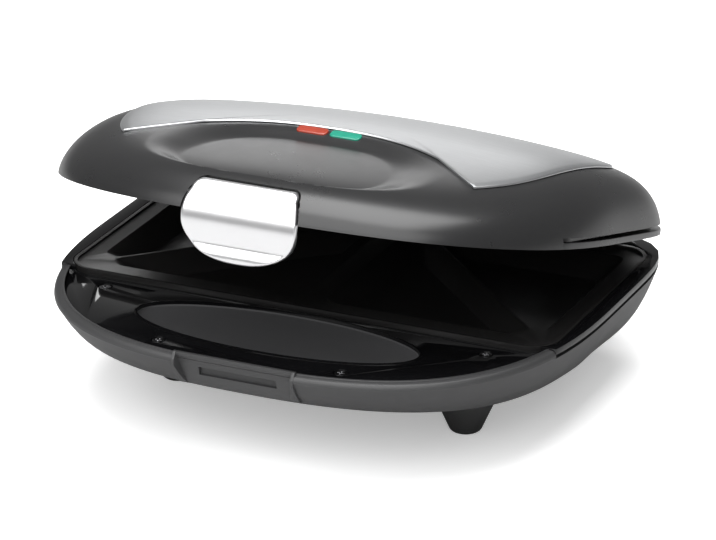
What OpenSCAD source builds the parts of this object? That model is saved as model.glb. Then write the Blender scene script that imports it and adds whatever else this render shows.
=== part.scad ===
// Clamshell sandwich toaster, lid part open as when sandwiches are inside.
// X runs left to right, Y from the handle side to the hinge, Z up; the feet stand on Z = 0.
// Inside the modules Y = 0 is the front edge of the cooking plates and Z = 0 the plane
// where the two halves meet; the two placing modules at the end move them into the frame.

/* [Cooking plates] */
// Width of a cooking plate
plate_w = 228; // [222:1:234]
// Depth of a cooking plate
plate_d = 122.8; // [118:0.2:126]
// Corner radius of a cooking plate
plate_corner_r = 13; // [8:1:18]
// Thickness of the cast plate
plate_t = 2.4; // [2:0.1:3]
// Height of the sealing bead round a plate
bead_h = 0.9; // [0.6:0.1:1.2]
// Width of the sealing bead
bead_w = 1.6; // [1.2:0.1:2.4]
// Side of one square sandwich mould
mould_w = 103; // [96:1:106]
// Depth of a mould pocket below the plate's land
pocket_depth = 9.5; // [7:0.5:11]
// Slope of the pocket walls, as an inset at the floor
pocket_slope = 9; // [6:0.5:12]
// Width of the pressing rib on the diagonal
diagonal_rib = 6; // [5:0.5:9]

/* [Casing] */
// Strip of casing beyond each side of the plates
side_strip = 7; // [6:0.5:9]
// Reach of the handle end in front of the plates
handle_reach = 68.5; // [66:0.5:72]
// Reach of the casing behind the plates
rear_strip = 15.2; // [14:0.2:18]
// Distance of the broadest line behind the plates' front edge
broad_y = 56; // [52:1:60]
// Roundness exponent of the handle end's outline
front_round = 2.7; // [2.6:0.05:2.9]
// Roundness exponent of the hinge end's outline
rear_round = 6.5; // [5.5:0.5:8]
// Wall of both casings
wall = 2.4; // [2:0.1:2.8]
// Gap left at the parting plane on each side
part_gap = 0.3; // [0.2:0.05:0.4]
// Height of the ventilation gap under each side flange
vent_gap = 1.9; // [1.4:0.1:2.2]
// Angle at which the lid stands open
open_deg = 16.6; // [12:0.2:20]

/* [Lid] */
// Crown height of the lid before it falls to the sides
lid_crown = 33.4; // [32:0.2:36]
// Slope of the lid from the handle to the crown
lid_slope = 0.211; // [0.19:0.005:0.22]
// Depth of the grip hollow in the lid
grip_depth = 3.4; // [2.5:0.1:3.6]
// Half length of the grip hollow
grip_half = 66; // [60:1:68]
// Height of the metal cover plate's face above the casing
cover_t = 1.1; // [0.8:0.1:1.4]
// Share of the lid's outline that the cover plate reaches
cover_share = 0.815; // [0.78:0.005:0.83]

/* [Base] */
// Depth of the base below the parting plane
base_depth = 40; // [38:0.5:43]
// Depth of the base's underside at the handle
handle_depth = 20; // [18.5:0.5:21]
// Inset of the base rim above its widest line, as a share
rim_share = 0.975; // [0.97:0.001:0.98]
// Height of the rear feet below the casing's pads
foot_h = 11.4; // [9:0.1:15]
// Radius of a foot at its top
foot_r = 13; // [11:0.5:14]
// Radius of a foot at the floor
foot_tip_r = 7.5; // [6:0.5:9]
// Distance of each foot's middle in from the side of the casing
foot_in = 52.5; // [47:0.5:61]
// Distance of the front feet behind the plates' front edge
foot_front_y = 19; // [15:1:25]
// Distance of the rear feet in from the hinge side of the casing
foot_rear_in = 38; // [34:1:46]

/* [Frames] */
// Thickness of the side flanges of the frames
flange_t = 2.6; // [2.2:0.1:3]
// Drop of the glossy front panel below the parting plane
panel_drop = 3; // [2.8:0.1:3.4]
// Thickness of the front panel
panel_t = 2.2; // [2:0.1:2.6]
// Half length of the oval tray in the front panel
tray_half_w = 65; // [58:1:68]
// Half depth of the oval tray
tray_half_d = 24; // [20:0.5:25]
// Depth of the oval tray
tray_depth = 1.8; // [1.5:0.1:3]

/* [Latch and catch] */
// Half width of the latch at its widest
latch_half_w = 26; // [24:0.5:28]
// Reach of the latch below the parting plane
latch_drop = 20.2; // [19:0.2:21]
// Radius of the latch pin
latch_pin_r = 1.5; // [1.2:0.1:1.7]
// Half width of the catch panel
catch_half_w = 28; // [26:0.5:30]
// Height of the catch panel
catch_h = 16; // [15.5:0.1:16.4]
// Half width of the latch hook
hook_half_w = 15; // [12:0.5:16.5]

/* [Hinge] */
// Distance of the hinge axis behind the casing
hinge_back = 11; // [10:0.5:13]
// Height of the hinge axis above the parting plane
hinge_z = 2; // [1:0.5:3]
// Radius of the hinge knuckles
knuckle_r = 6.5; // [6:0.1:7]
// Radius of the hinge pins
hinge_pin_r = 2; // [1.6:0.1:2.4]
// Distance of each hinge's middle in from the side of the casing
hinge_in = 48; // [45:1:53]
// Width of the lid's knuckle
knuckle_w = 19.2; // [16:0.2:22]
// Width of each ear on the base
ear_w = 5; // [4:0.5:6]

/* [Heating and wiring] */
// Radius of the tubular heating elements
element_r = 3; // [2.6:0.1:3.2]
// Thickness of the heat shields
shield_t = 0.8; // [0.6:0.1:1]
// Radius of the hole that the mains cord passes through
cord_hole_r = 3.6; // [3.2:0.1:4]
// Distance of the cord gland from the middle
gland_x = 36; // [28:1:42]

/* [Hidden] */
$fn = 48;
eps = 0.01;

// Clearances that the fits share
run_gap = 0.05;
loose_gap = 0.3;

// Outline of both casings
half_w = plate_w / 2 + side_strip;
front_len = handle_reach + broad_y;
rear_y = plate_d + rear_strip;
rear_len = rear_y - broad_y;
outline_points = 96;
step_y = 2.4;
far = 2 * (front_len + rear_len);
vent_z = part_gap + flange_t + vent_gap;
foot_x = half_w - foot_in;
foot_rear_y = rear_y - foot_rear_in;

// Lid surface
lid_wall_power = 14;
lid_wall_root = 1.75;
lid_knee_y = 32;
lid_knee_w = 25;
lid_fall = 0.1;
lid_fall_y = broad_y + 20;
lid_side_fall = 0.00062;
grip_y = -18;
grip_half_y = 36;
grip_power = 2.6;

// Cover plate outline: an arched front edge that dips to a point near each end
cover_front_y = 19.5;
cover_dip = 33.5;
cover_dip_x = 78;
cover_dip_power = 2.45;
cover_corner = 9;
cover_gap = 0.35;

// Base surface
base_front_power = 18.8;
base_side_power = 10;
base_wall_root = 0.9;
bulge_z = 4;
floor_slope = 0.178;
rim_drop = 0.9;
rim_wall = 1.3;
pad_h = 1.2;
parting_h = base_depth + pad_h + foot_h;

// Frames and plates
opening_gap = 0.4;
ledge_in = 3;
ledge_out = 1.2;
ledge_z = flange_t + part_gap - 0.15;
ledge_t = 1.85;
land_z = part_gap + bead_h;
plate_flange_z = ledge_z;
pocket_corner_r = 5;
mould_gap = 2;
floor_z = land_z + pocket_depth + plate_t;
panel_bottom = panel_drop + panel_t;
tray_y = -tray_half_d;
tray_wall = 1.2;
lip_w = 1.6;
lip_h = 0.5;

// Screws
screw_head_r = 2.7;
screw_head_h = 1.2;
screw_r = 1.45;
screw_len = 7;
boss_r = 4;
screw_end = panel_drop + screw_head_h + screw_len + 0.5;
side_screw = [half_w - 32, -8.6];
front_screw = [42, -51];
lid_front_screw = [40, -42];

// Heating elements, shields and what hangs under them
element_z = floor_z + 0.1 + element_r;
element_x = plate_w / 2 - 30;
element_y0 = 30;
element_y1 = plate_d - 30.8;
element_mid = (element_y0 + element_y1) / 2;
tongue = [7, 6.4, 0.8];
shield_z = element_z + element_r + 0.2;
shield_y0 = 12;
shield_y1 = plate_d - 12.8;
shield_low = shield_z + shield_t;
stud_r = 3;
stud_points = [[0, 21], [0, plate_d - 17.8]];
shield_x0 = -element_x + 2;
shield_x1 = element_x + 8;
wire_r = 1.1;
wire_bend_r = 4;
wire_z0 = max(11 - base_depth, wall + 2.6 - base_floor(foot_front_y));
fuse_r = 2;
fuse_len = 12;
fuse_x = 6;
fuse_drop = 2.6;
fuse_pin_r = 0.5;
fuse_clip_w = 3;
fuse_clip_t = 1;
thermostat_x = -40;
thermostat_r = 8;
thermostat_h = 6;
thermostat_cap_r = 6.5;
thermostat_cap_h = 3.6;
block_pitch = 10;
block_size = [32, 16, 5.5];
block_hole_r = 1.6;
block_screw_r = 1.8;

// Catch panel: its top edge, the ledge for the hook and the slot under the ledge
catch_lip_y = -handle_reach + 2.9;
ledge_y = catch_lip_y + 3.2;
ledge_h = 6.7;
slot_h = 3.9;
slot_depth = 2.6;
slot_half_w = hook_half_w + 2.8;
catch_back = ledge_y + 3.8;
hollow_half_w = latch_half_w + 0.6;

// Latch, its pivot and its hook, seen from the side
latch_top = [7.3 - handle_reach, 13];
pivot_y = 7 - handle_reach;
pivot_z = 5.5;
pivot_boss_t = 4;
window_half_w = latch_half_w + 0.8;
hook_top = ledge_h + 0.4;
hook_h = 1.8;
hook_y = ledge_y + 1.7;

// Hinge
hinge_y = rear_y + hinge_back;
hinge_x = half_w - hinge_in;
ear_drop = 26;
knuckle_rise = 20;
pin_half = knuckle_w / 2 + loose_gap + ear_w + 1;

// Cord gland
gland_z = -24;
gland_seat_r = cord_hole_r + 2.4;
gland_boss_r = gland_seat_r + 3;
gland_out_y = rear_y + 2.5;
gland_in_y = rear_y - 14;
block_y = gland_in_y - 30;

// Middle of the whole depth, from the catch panel to the hinge knuckles
rear_reach = hinge_y + knuckle_r;
mid_y = (rear_reach - handle_reach) / 2;

// Reach of the casing outline from its centre in direction t, grown by g
function reach(t, g) =
    let (n = sin(t) < 0 ? front_round : rear_round,
         b = (sin(t) < 0 ? front_len : rear_len) + g,
         c = abs(cos(t)) / (half_w + g),
         s = abs(sin(t)) / b)
    pow(pow(c, n) + pow(s, n), -1 / n);

// A point of the outline, drawn in to the share k
function outline_at(t, k, g) =
    [k * reach(t, g) * cos(t), broad_y + k * reach(t, g) * sin(t)];

function outline(k, g) =
    [for (i = [0 : outline_points - 1]) outline_at(360 * i / outline_points, k, g)];

// Share of the outline at which a point lies
function share_at(x, y) =
    let (n = y < broad_y ? front_round : rear_round,
         b = y < broad_y ? front_len : rear_len)
    pow(pow(abs(x) / half_w, n) + pow(abs(y - broad_y) / b, n), 1 / n);

function smooth(u) = let (v = min(1, max(0, u))) v * v * (3 - 2 * v);

// Crown of the lid: a long slope up from the handle, then a gentle fall to the hinge
function crown(x, y) =
    lid_crown
    + lid_slope / 2 * ((y - lid_knee_y) - sqrt(pow(y - lid_knee_y, 2) + pow(lid_knee_w, 2)) + lid_knee_w)
    - lid_fall / 2 * ((y - lid_fall_y) + sqrt(pow(y - lid_fall_y, 2) + 400) - 20)
    - lid_side_fall * x * x;

// Grip hollow: crisp at its front edge, running out softly at the cover plate
function grip(x, y) =
    let (e = pow(pow(abs(x) / grip_half, grip_power)
                 + pow(abs(y - grip_y) / grip_half_y, grip_power), 1 / grip_power),
         width = 0.05 + 0.27 * smooth((y + 50) / 60))
    grip_depth * smooth((1 - e) / width);

function lid_dome(x, y, k) =
    crown(x, y) * pow(max(0, 1 - pow(k, lid_wall_power)), 1 / lid_wall_root);

function lid_z(x, y, k) = max(part_gap, lid_dome(x, y, k) - grip(x, y));

function lid_z_at(x, y) = lid_z(x, y, share_at(x, y));

// Underside of the base: a ramp down from the handle to a flat floor
function base_floor(y) =
    min(base_depth, handle_depth + floor_slope * (y + handle_reach - 8.5));

function base_z(x, y, k) =
    let (c = pow(x / half_w, 2),
         s = pow((y - broad_y) / (y < broad_y ? front_len : rear_len), 2),
         e = base_front_power + (base_side_power - base_front_power) * c / (c + s + 0.0001))
    -bulge_z - (base_floor(y) - bulge_z) * pow(max(0, 1 - pow(k, e)), 1 / base_wall_root);

// Closed solid from rings that all have the same number of points, with a point at each end
module ring_solid(top, rings, bottom) {
    n = len(rings[0]);
    m = len(rings);
    points = concat([top], [for (r = rings) for (p = r) p], [bottom]);
    faces = concat(
        [for (j = [0 : n - 1]) [0, 1 + (j + 1) % n, 1 + j]],
        [for (i = [0 : m - 2]) for (j = [0 : n - 1])
            [1 + i * n + j, 1 + i * n + (j + 1) % n, 1 + (i + 1) * n + (j + 1) % n]],
        [for (i = [0 : m - 2]) for (j = [0 : n - 1])
            [1 + i * n + j, 1 + (i + 1) * n + (j + 1) % n, 1 + (i + 1) * n + j]],
        [for (j = [0 : n - 1]) [1 + m * n, 1 + (m - 1) * n + j, 1 + (m - 1) * n + (j + 1) % n]]);
    polyhedron(points, faces);
}

function lid_ring(k, g, drop) =
    [for (p = outline(k, g)) [p[0], p[1], max(part_gap, lid_z(p[0], p[1], k) - drop)]];

function base_ring(k, g, lift) =
    [for (p = outline(k, g)) [p[0], p[1], base_z(p[0], p[1], k) + lift]];

// Upper part of the base wall, from the rim out to the widest line
function base_lip_ring(u, g) =
    let (k = rim_share + (1 - rim_share) * sqrt(1 - (1 - u) * (1 - u)))
    [for (p = outline(k, g)) [p[0], p[1], -rim_drop - (bulge_z - rim_drop) * u]];

module rounded_rect(w, d, r) {
    translate([-w / 2 + r, r]) square([w - 2 * r, d - 2 * r]);
    translate([-w / 2, r]) square([w, d - 2 * r]);
    translate([-w / 2 + r, 0]) square([w - 2 * r, d]);
    for (x = [-1, 1]) for (y = [r, d - r]) translate([x * (w / 2 - r), y]) circle(r);
}

// The cooking plate's outline, grown by g
module plate_outline(g) {
    translate([0, -g]) rounded_rect(plate_w + 2 * g, plate_d + 2 * g, plate_corner_r + g);
}

module ellipse(rx, ry) {
    polygon([for (i = [0 : 95]) [rx * cos(i * 3.75), ry * sin(i * 3.75)]]);
}

// Prism of a side view: 2D X is the part's Y and 2D Y its Z, from x0 to x1 across the part
module side_prism(x0, x1) {
    translate([x0, 0, 0]) rotate([90, 0, 90]) linear_extrude(x1 - x0) children();
}

module x_cylinder(x0, x1, y, z, r) {
    translate([x0, y, z]) rotate([0, 90, 0]) cylinder(h = x1 - x0, r = r);
}

// Parts of the casings
module front_half_space() {
    translate([-far, -far, -far]) cube([2 * far, far + step_y, 2 * far]);
}

module rear_half_space() {
    translate([-far, step_y, -far]) cube([2 * far, far, 2 * far]);
}

module ear_profile() {
    translate([hinge_y, hinge_z]) circle(knuckle_r);
    polygon([[hinge_y - knuckle_r, hinge_z], [rear_y + 0.6, -vent_z - 0.6],
             [rear_y - 9, -vent_z - 0.6], [rear_y - 9, -ear_drop],
             [hinge_y + knuckle_r * 0.8, hinge_z - knuckle_r * 0.6]]);
}

module knuckle_profile() {
    translate([hinge_y, hinge_z]) circle(knuckle_r);
    polygon([[hinge_y - knuckle_r, hinge_z], [rear_y + 1, vent_z + 0.4],
             [rear_y - 7, vent_z + 0.4], [rear_y - 7, knuckle_rise],
             [hinge_y, hinge_z + knuckle_r]]);
}

module base_ears() {
    for (s = [-1, 1]) for (e = [-1, 1]) {
        x = s * hinge_x + e * (knuckle_w / 2 + loose_gap + ear_w / 2);
        side_prism(x - ear_w / 2, x + ear_w / 2) ear_profile();
    }
}

// Points round the rim of a screw boss, to keep its end inside the casing's wall
function boss_rim(p) = [for (a = [0 : 30 : 330]) [p[0] + boss_r * cos(a), p[1] + boss_r * sin(a)]];

module base_screw_boss(p) {
    low = max([for (q = boss_rim(p)) base_z(q[0], q[1], share_at(q[0], q[1]))]) + 0.5;
    translate([0, 0, low]) cylinder(h = -panel_bottom - low, r = boss_r);
}

// Depth of a foot's top below the parting plane, and how far its stud stands up through the casing
function foot_top(y) = base_floor(y + foot_r) + pad_h;
function stud_len(y) = foot_top(y) - base_floor(y) + wall + 1;

module both_sides(p) {
    for (s = [-1, 1]) translate([s * p[0], p[1], 0]) children();
}

module base_shell() {
    color([0.25, 0.25, 0.26])
    difference() {
        union() {
            difference() {
                ring_solid(
                    [0, broad_y, base_z(0, broad_y, 0) + wall],
                    concat(
                        [for (k = [0.3, 0.55, 0.72, 0.83, 0.9, 0.95, 0.98]) base_ring(k, -wall, wall)],
                        [base_lip_ring(0.6, -wall), base_lip_ring(0, -rim_wall)],
                        [for (u = [0, 0.2, 0.5, 1]) base_lip_ring(u, 0)],
                        [for (k = [0.992, 0.975, 0.95, 0.915, 0.87, 0.8, 0.68, 0.5, 0.25]) base_ring(k, 0, 0)]),
                    [0, broad_y, base_z(0, broad_y, 0)]);
                // The side walls stop below the frame's flange and leave the ventilation gap
                translate([-far, step_y, -vent_z]) cube([2 * far, far, far]);
                // Window that the catch panel clips into
                translate([-catch_half_w - run_gap, -handle_reach - 20, -catch_h - run_gap])
                    cube([2 * (catch_half_w + run_gap), 20 + handle_reach + catch_back + run_gap, 40]);
            }
            base_ears();
            for (p = [side_screw, front_screw]) both_sides(p) base_screw_boss(p);
            for (y = [foot_front_y, foot_rear_y])
                both_sides([foot_x, y]) translate([0, 0, -foot_top(y)])
                    cylinder(h = foot_top(y) - base_floor(y) + wall, r = foot_r);
            translate([gland_x, gland_in_y, gland_z]) rotate([-90, 0, 0])
                cylinder(h = gland_out_y - gland_in_y, r = gland_boss_r);
        }
        for (p = [side_screw, front_screw])
            both_sides(p) translate([0, 0, -screw_end]) cylinder(h = 20, r = screw_r);
        for (y = [foot_front_y, foot_rear_y])
            both_sides([foot_x, y]) translate([0, 0, -foot_top(y) - 1])
                cylinder(h = stud_len(y) + 1, r = stud_r + run_gap);
        translate([gland_x, gland_in_y - 5, gland_z]) rotate([-90, 0, 0]) cylinder(h = 40, r = gland_seat_r);
        for (s = [-1, 1])
            x_cylinder(s * hinge_x - pin_half, s * hinge_x + pin_half, hinge_y, hinge_z, hinge_pin_r);
    }
}

// Side view of the casing's front where the catch panel sits
function catch_outer() = [
    [catch_lip_y, 0], [-handle_reach + 1.8, -1.6], [-handle_reach + 0.2, -bulge_z], [-handle_reach + 0.9, -5.6],
    [-handle_reach + 2.2, -8], [-handle_reach + 3.8, -10.5], [-handle_reach + 5.7, -13],
    [-handle_reach + 8.6, -catch_h], [catch_back, -catch_h], [catch_back, -panel_drop - 0.4],
    [catch_lip_y + 1.4, -panel_drop - 0.4], [catch_lip_y + 1.4, 0]];

// Side view of the hollow that takes the latch
function catch_hollow() = [
    [catch_lip_y, 0.1], [catch_lip_y + 0.3, -1.4], [catch_lip_y + 2.2, -4.4], [ledge_y, -ledge_h],
    [ledge_y + 0.7, -9.5], [ledge_y + 1.5, -12.5], [ledge_y + 2.6, -catch_h - 0.1], [-90, -catch_h - 0.1],
    [-90, 0.1]];

module catch_panel() {
    color([0.27, 0.27, 0.28])
    difference() {
        intersection() {
            side_prism(-catch_half_w, catch_half_w) polygon(catch_outer());
            translate([0, 0, -catch_h - 1]) linear_extrude(catch_h + 2)
                polygon(concat(
                    [for (i = [-8 : 8]) [catch_half_w * i / 8, -handle_reach + 0.1 + 0.8 * pow(i / 8, 2)]],
                    [[catch_half_w, catch_back + 1], [-catch_half_w, catch_back + 1]]));
        }
        intersection() {
            side_prism(-40, 40) polygon(catch_hollow());
            rotate([90, 0, 0]) linear_extrude(100)
                polygon([[-hollow_half_w, 1], [-hollow_half_w, -6], [-hollow_half_w + 3, -catch_h - 1],
                         [hollow_half_w - 3, -catch_h - 1], [hollow_half_w, -6], [hollow_half_w, 1]]);
        }
        // Slot under the ledge that the hook grips
        translate([-slot_half_w, ledge_y - 4, -ledge_h - slot_h])
            cube([2 * slot_half_w, 4 + slot_depth, slot_h]);
    }
}

// Flange round the cooking plate and the ledge that the plate rests on; both frames share it
module frame_ring() {
    intersection() {
        translate([0, 0, -part_gap - flange_t])
            linear_extrude(flange_t)
                difference() {
                    polygon(outline(1, 0));
                    plate_outline(opening_gap);
                }
        rear_half_space();
    }
    translate([0, 0, -ledge_z - ledge_t])
        linear_extrude(ledge_t)
            difference() {
                plate_outline(ledge_out);
                plate_outline(-ledge_in);
            }
}

// Front panel without its tray, inside the outline at share k drawn in by g
module front_panel(k, g) {
    intersection() {
        for (i = [0, 1])
            translate([0, 0, -panel_bottom + i * panel_t / 2])
                linear_extrude(panel_t / 2)
                    difference() {
                        polygon(outline(k - 0.014 * (1 - i), -g));
                        plate_outline(opening_gap);
                    }
        front_half_space();
    }
}

module screw_hole(p) {
    both_sides(p) {
        translate([0, 0, -panel_bottom + panel_t - screw_head_h - 0.2]) cylinder(h = 10, r = screw_head_r + 0.6);
        translate([0, 0, -panel_bottom - 1]) cylinder(h = 10, r = screw_r + loose_gap);
    }
}

module base_frame() {
    color([0.06, 0.06, 0.065])
    difference() {
        union() {
            frame_ring();
            difference() {
                front_panel(0.99, wall + loose_gap);
                translate([0, tray_y, -20]) linear_extrude(40) ellipse(tray_half_w, tray_half_d - lip_w - 0.6);
            }
            translate([0, tray_y, -panel_drop - tray_depth - tray_wall]) {
                linear_extrude(tray_wall) ellipse(tray_half_w, tray_half_d - lip_w - 0.6);
                linear_extrude(tray_wall + tray_depth + lip_h)
                    difference() {
                        ellipse(tray_half_w + tray_wall, tray_half_d - lip_w - 0.6 + tray_wall);
                        ellipse(tray_half_w, tray_half_d - lip_w - 0.6);
                    }
            }
        }
        screw_hole(side_screw);
        screw_hole(front_screw);
        // Room for the catch panel
        translate([-catch_half_w - 0.6, -handle_reach - 10, -20])
            cube([2 * catch_half_w + 1.2, 10 + handle_reach + catch_back + 0.4, 40]);
    }
}

// Triangle with rounded corners, as a list of points; the right angle is at the corner c
function tri_points(c, s, inset, r) =
    let (a = mould_w - inset * (1 + sqrt(2) / 2) * 1.17,
         corners = [[inset + r, inset + r], [a - r * 1.4, inset + r], [inset + r, a - r * 1.4]],
         starts = [180, 270, 45],
         sweeps = [90, 135, 135])
    [for (i = [0 : 2]) for (j = [0 : 4])
        let (t = starts[i] + sweeps[i] * j / 4)
        [c[0] + s[0] * (corners[i][0] + r * cos(t)), c[1] + s[1] * (corners[i][1] + r * sin(t))]];

// Tray with sloping walls between two outlines with the same points
module loft(low, high, z0, z1) {
    n = len(low);
    points = concat([for (p = low) [p[0], p[1], z0]], [for (p = high) [p[0], p[1], z1]]);
    faces = concat(
        [[for (j = [0 : n - 1]) j]],
        [[for (j = [n - 1 : -1 : 0]) n + j]],
        [for (j = [0 : n - 1]) [j, n + j, n + (j + 1) % n]],
        [for (j = [0 : n - 1]) [j, n + (j + 1) % n, (j + 1) % n]]);
    polyhedron(points, faces);
}

// The four triangular pockets of a plate, grown by g and reaching from the land down to depth z
module pockets(g, z, top) {
    for (side = [-1, 1]) for (half = [0, 1]) {
        x_in = side * mould_gap;
        x_out = side * (mould_gap + mould_w + diagonal_rib / 2);
        y_low = (plate_d - mould_w) / 2 - diagonal_rib / 4;
        y_high = y_low + mould_w + diagonal_rib / 2;
        // One half has its right angle at the middle front, the other at the outer rear
        c = half == 0 ? [x_in, y_low] : [x_out, y_high];
        s = half == 0 ? [side, 1] : [-side, -1];
        inset_top = diagonal_rib / 2 - g;
        inset_low = inset_top + pocket_slope;
        high = tri_points(c, s, inset_top, pocket_corner_r + g);
        low = tri_points(c, s, inset_low, pocket_corner_r + g);
        flip = side * (half == 0 ? 1 : 1);
        if (flip > 0) loft(low, high, -z, top);
        else loft([for (i = [len(low) - 1 : -1 : 0]) low[i]], [for (i = [len(high) - 1 : -1 : 0]) high[i]], -z, top);
    }
}

// Cooking plate with its pockets hanging down; the upper one is its mirror image
module cooking_plate() {
    difference() {
        union() {
            translate([0, 0, -plate_flange_z]) linear_extrude(plate_flange_z - land_z) plate_outline(0);
            translate([0, 0, -land_z - eps]) linear_extrude(bead_h + eps)
                difference() {
                    plate_outline(0);
                    plate_outline(-bead_w);
                }
            intersection() {
                pockets(plate_t, floor_z, -land_z - 0.3);
                translate([0, 0, -50]) linear_extrude(50) plate_outline(-ledge_in - 0.5);
            }
            for (p = stud_points)
                translate([p[0], p[1], -shield_z]) cylinder(h = shield_z - land_z - 1, r = stud_r);
        }
        pockets(0, land_z + pocket_depth, -land_z + eps);
        for (p = stud_points)
            translate([p[0], p[1], -shield_z - 1]) cylinder(h = 9, r = screw_r);
    }
}

// Tubular element: one hairpin loop with its two ends at the hinge side
module heating_element() {
    bend = (element_y1 - element_y0) / 2;
    straight = element_x - bend;
    translate([0, 0, -element_z]) {
        translate([straight, element_mid, 0]) {
            rotate([0, 0, -90]) rotate_extrude(angle = 180) translate([bend, 0]) circle(element_r, $fn = 24);
            for (s = [-1, 1]) translate([0, s * bend, 0]) rotate([0, -90, 0])
                cylinder(h = straight + element_x - 6, r = element_r, $fn = 24);
        }
        // Cold ends with their spade tongues
        for (y = [element_y0, element_y1]) {
            x_cylinder(-element_x, -element_x + 6.1, y, 0, element_r * 0.6);
            translate([-element_x - tongue[0], y - tongue[1] / 2, -tongue[2] / 2])
                cube([tongue[0] + 0.1, tongue[1], tongue[2]]);
        }
    }
}

module heat_shield() {
    w = shield_x1 - shield_x0;
    d = shield_y1 - shield_y0;
    difference() {
        translate([(shield_x0 + shield_x1) / 2, shield_y0, -shield_z - shield_t]) union() {
            linear_extrude(shield_t) rounded_rect(w, d, 6);
            // Turned-up rear edge
            translate([6 - w / 2, d - shield_t, 0]) cube([w - 12, shield_t, 5]);
        }
        for (p = stud_points)
            translate([p[0], p[1], -shield_z - 5]) cylinder(h = 10, r = screw_r + 0.2);
    }
}

module pan_screw(len) {
    cylinder(h = screw_head_h, r = screw_head_r);
    translate([0, 0, -len]) cylinder(h = len + eps, r = screw_r);
}

module slotted_pan_screw(len) {
    difference() {
        pan_screw(len);
        for (a = [0, 90]) rotate([0, 0, a]) translate([-1.5, -0.3, screw_head_h - 0.6]) cube([3, 0.6, 1]);
    }
}

module shield_screws() {
    for (p = stud_points)
        translate([p[0], p[1], -shield_z - shield_t]) rotate([180, 0, 0]) pan_screw(7);
}

module frame_screws(front) {
    for (p = [side_screw, front])
        both_sides(p) translate([0, 0, -panel_drop - screw_head_h - 0.2]) slotted_pan_screw(screw_len);
}

module foot(x, y) {
    r = 3;
    h = parting_h - foot_top(y);
    up = stud_len(y);
    color([0.13, 0.13, 0.135])
    translate([x, y, -foot_top(y)])
        rotate_extrude()
            polygon(concat(
                [[0, -h], [foot_tip_r - r, -h]],
                [for (i = [1 : 6]) let (t = -90 + i * 11) [foot_tip_r - r + r * cos(t), -h + r + r * sin(t)]],
                [[foot_r - 0.4, -1], [foot_r, 0], [stud_r, 0], [stud_r, up], [0, up]]));
}

module hinge_pin(s) {
    color([0.7, 0.7, 0.72])
    x_cylinder(s * hinge_x - pin_half, s * hinge_x + pin_half, hinge_y, hinge_z, hinge_pin_r);
}

module thermostat() {
    color([0.85, 0.8, 0.7])
    translate([thermostat_x, element_mid, -shield_low - thermostat_h]) {
        cylinder(h = thermostat_h, r = thermostat_r);
        translate([0, 0, 0.1 - thermostat_cap_h]) cylinder(h = thermostat_cap_h, r = thermostat_cap_r);
        // Spade tongues
        for (s = [-1, 1])
            translate([s * (thermostat_cap_r + tongue[0] / 2 - 1), 0, tongue[2] / 2 - 0.4 * thermostat_h])
                cube(tongue, center = true);
    }
}

module thermal_fuse() {
    clip_x = fuse_x + (fuse_len - fuse_clip_w) / 2;
    color([0.8, 0.75, 0.4])
    translate([0, element_mid, -shield_low - fuse_drop]) {
        x_cylinder(fuse_x, fuse_x + fuse_len, 0, 0, fuse_r);
        x_cylinder(fuse_x - 4, gland_x - block_pitch - wire_r, 0, 0, fuse_pin_r);
        // Clip that holds the fuse against the shield
        translate([clip_x, -fuse_r - fuse_clip_t, fuse_drop - 1.2])
            cube([fuse_clip_w, 2 * (fuse_r + fuse_clip_t), 1.2]);
        for (y = [-fuse_r - fuse_clip_t, fuse_r])
            translate([clip_x, y, -fuse_r - 0.4]) cube([fuse_clip_w, fuse_clip_t, fuse_r + fuse_drop]);
    }
}

module terminal_block() {
    low = -base_depth + wall + 0.5;
    color([0.9, 0.88, 0.82])
    difference() {
        translate([gland_x - block_size[0] / 2, block_y, low])
            cube([block_size[0], block_size[1], wire_z0 - low + block_size[2]]);
        for (i = [-1 : 1]) {
            translate([gland_x + i * block_pitch, block_y - 1, wire_z0])
                rotate([-90, 0, 0]) cylinder(h = block_size[1] + 2, r = block_hole_r);
            for (y = [0.25, 0.75])
                translate([gland_x + i * block_pitch, block_y + y * block_size[1], wire_z0 + 1])
                    cylinder(h = block_size[2], r = block_screw_r);
        }
    }
}

module cord_gland() {
    color([0.1, 0.1, 0.1])
    translate([gland_x, 0, gland_z])
        rotate([-90, 0, 0])
            difference() {
                union() {
                    translate([0, 0, gland_in_y]) cylinder(h = gland_out_y - gland_in_y, r = gland_seat_r - run_gap);
                    translate([0, 0, gland_out_y]) cylinder(h = 3, r = gland_seat_r + 2);
                }
                translate([0, 0, gland_in_y - 1]) cylinder(h = 60, r = cord_hole_r);
            }
}

// Straight legs and quarter bends of insulated wire
module wire_y(x, z, y0, y1) {
    translate([x, y0, z]) rotate([-90, 0, 0]) cylinder(h = y1 - y0, r = wire_r, $fn = 24);
}

module wire_z(x, y, z0, z1) {
    translate([x, y, z0]) cylinder(h = z1 - z0, r = wire_r, $fn = 24);
}

module wire_bend() {
    rotate_extrude(angle = 90) translate([wire_bend_r, 0]) circle(wire_r, $fn = 24);
}

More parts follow.
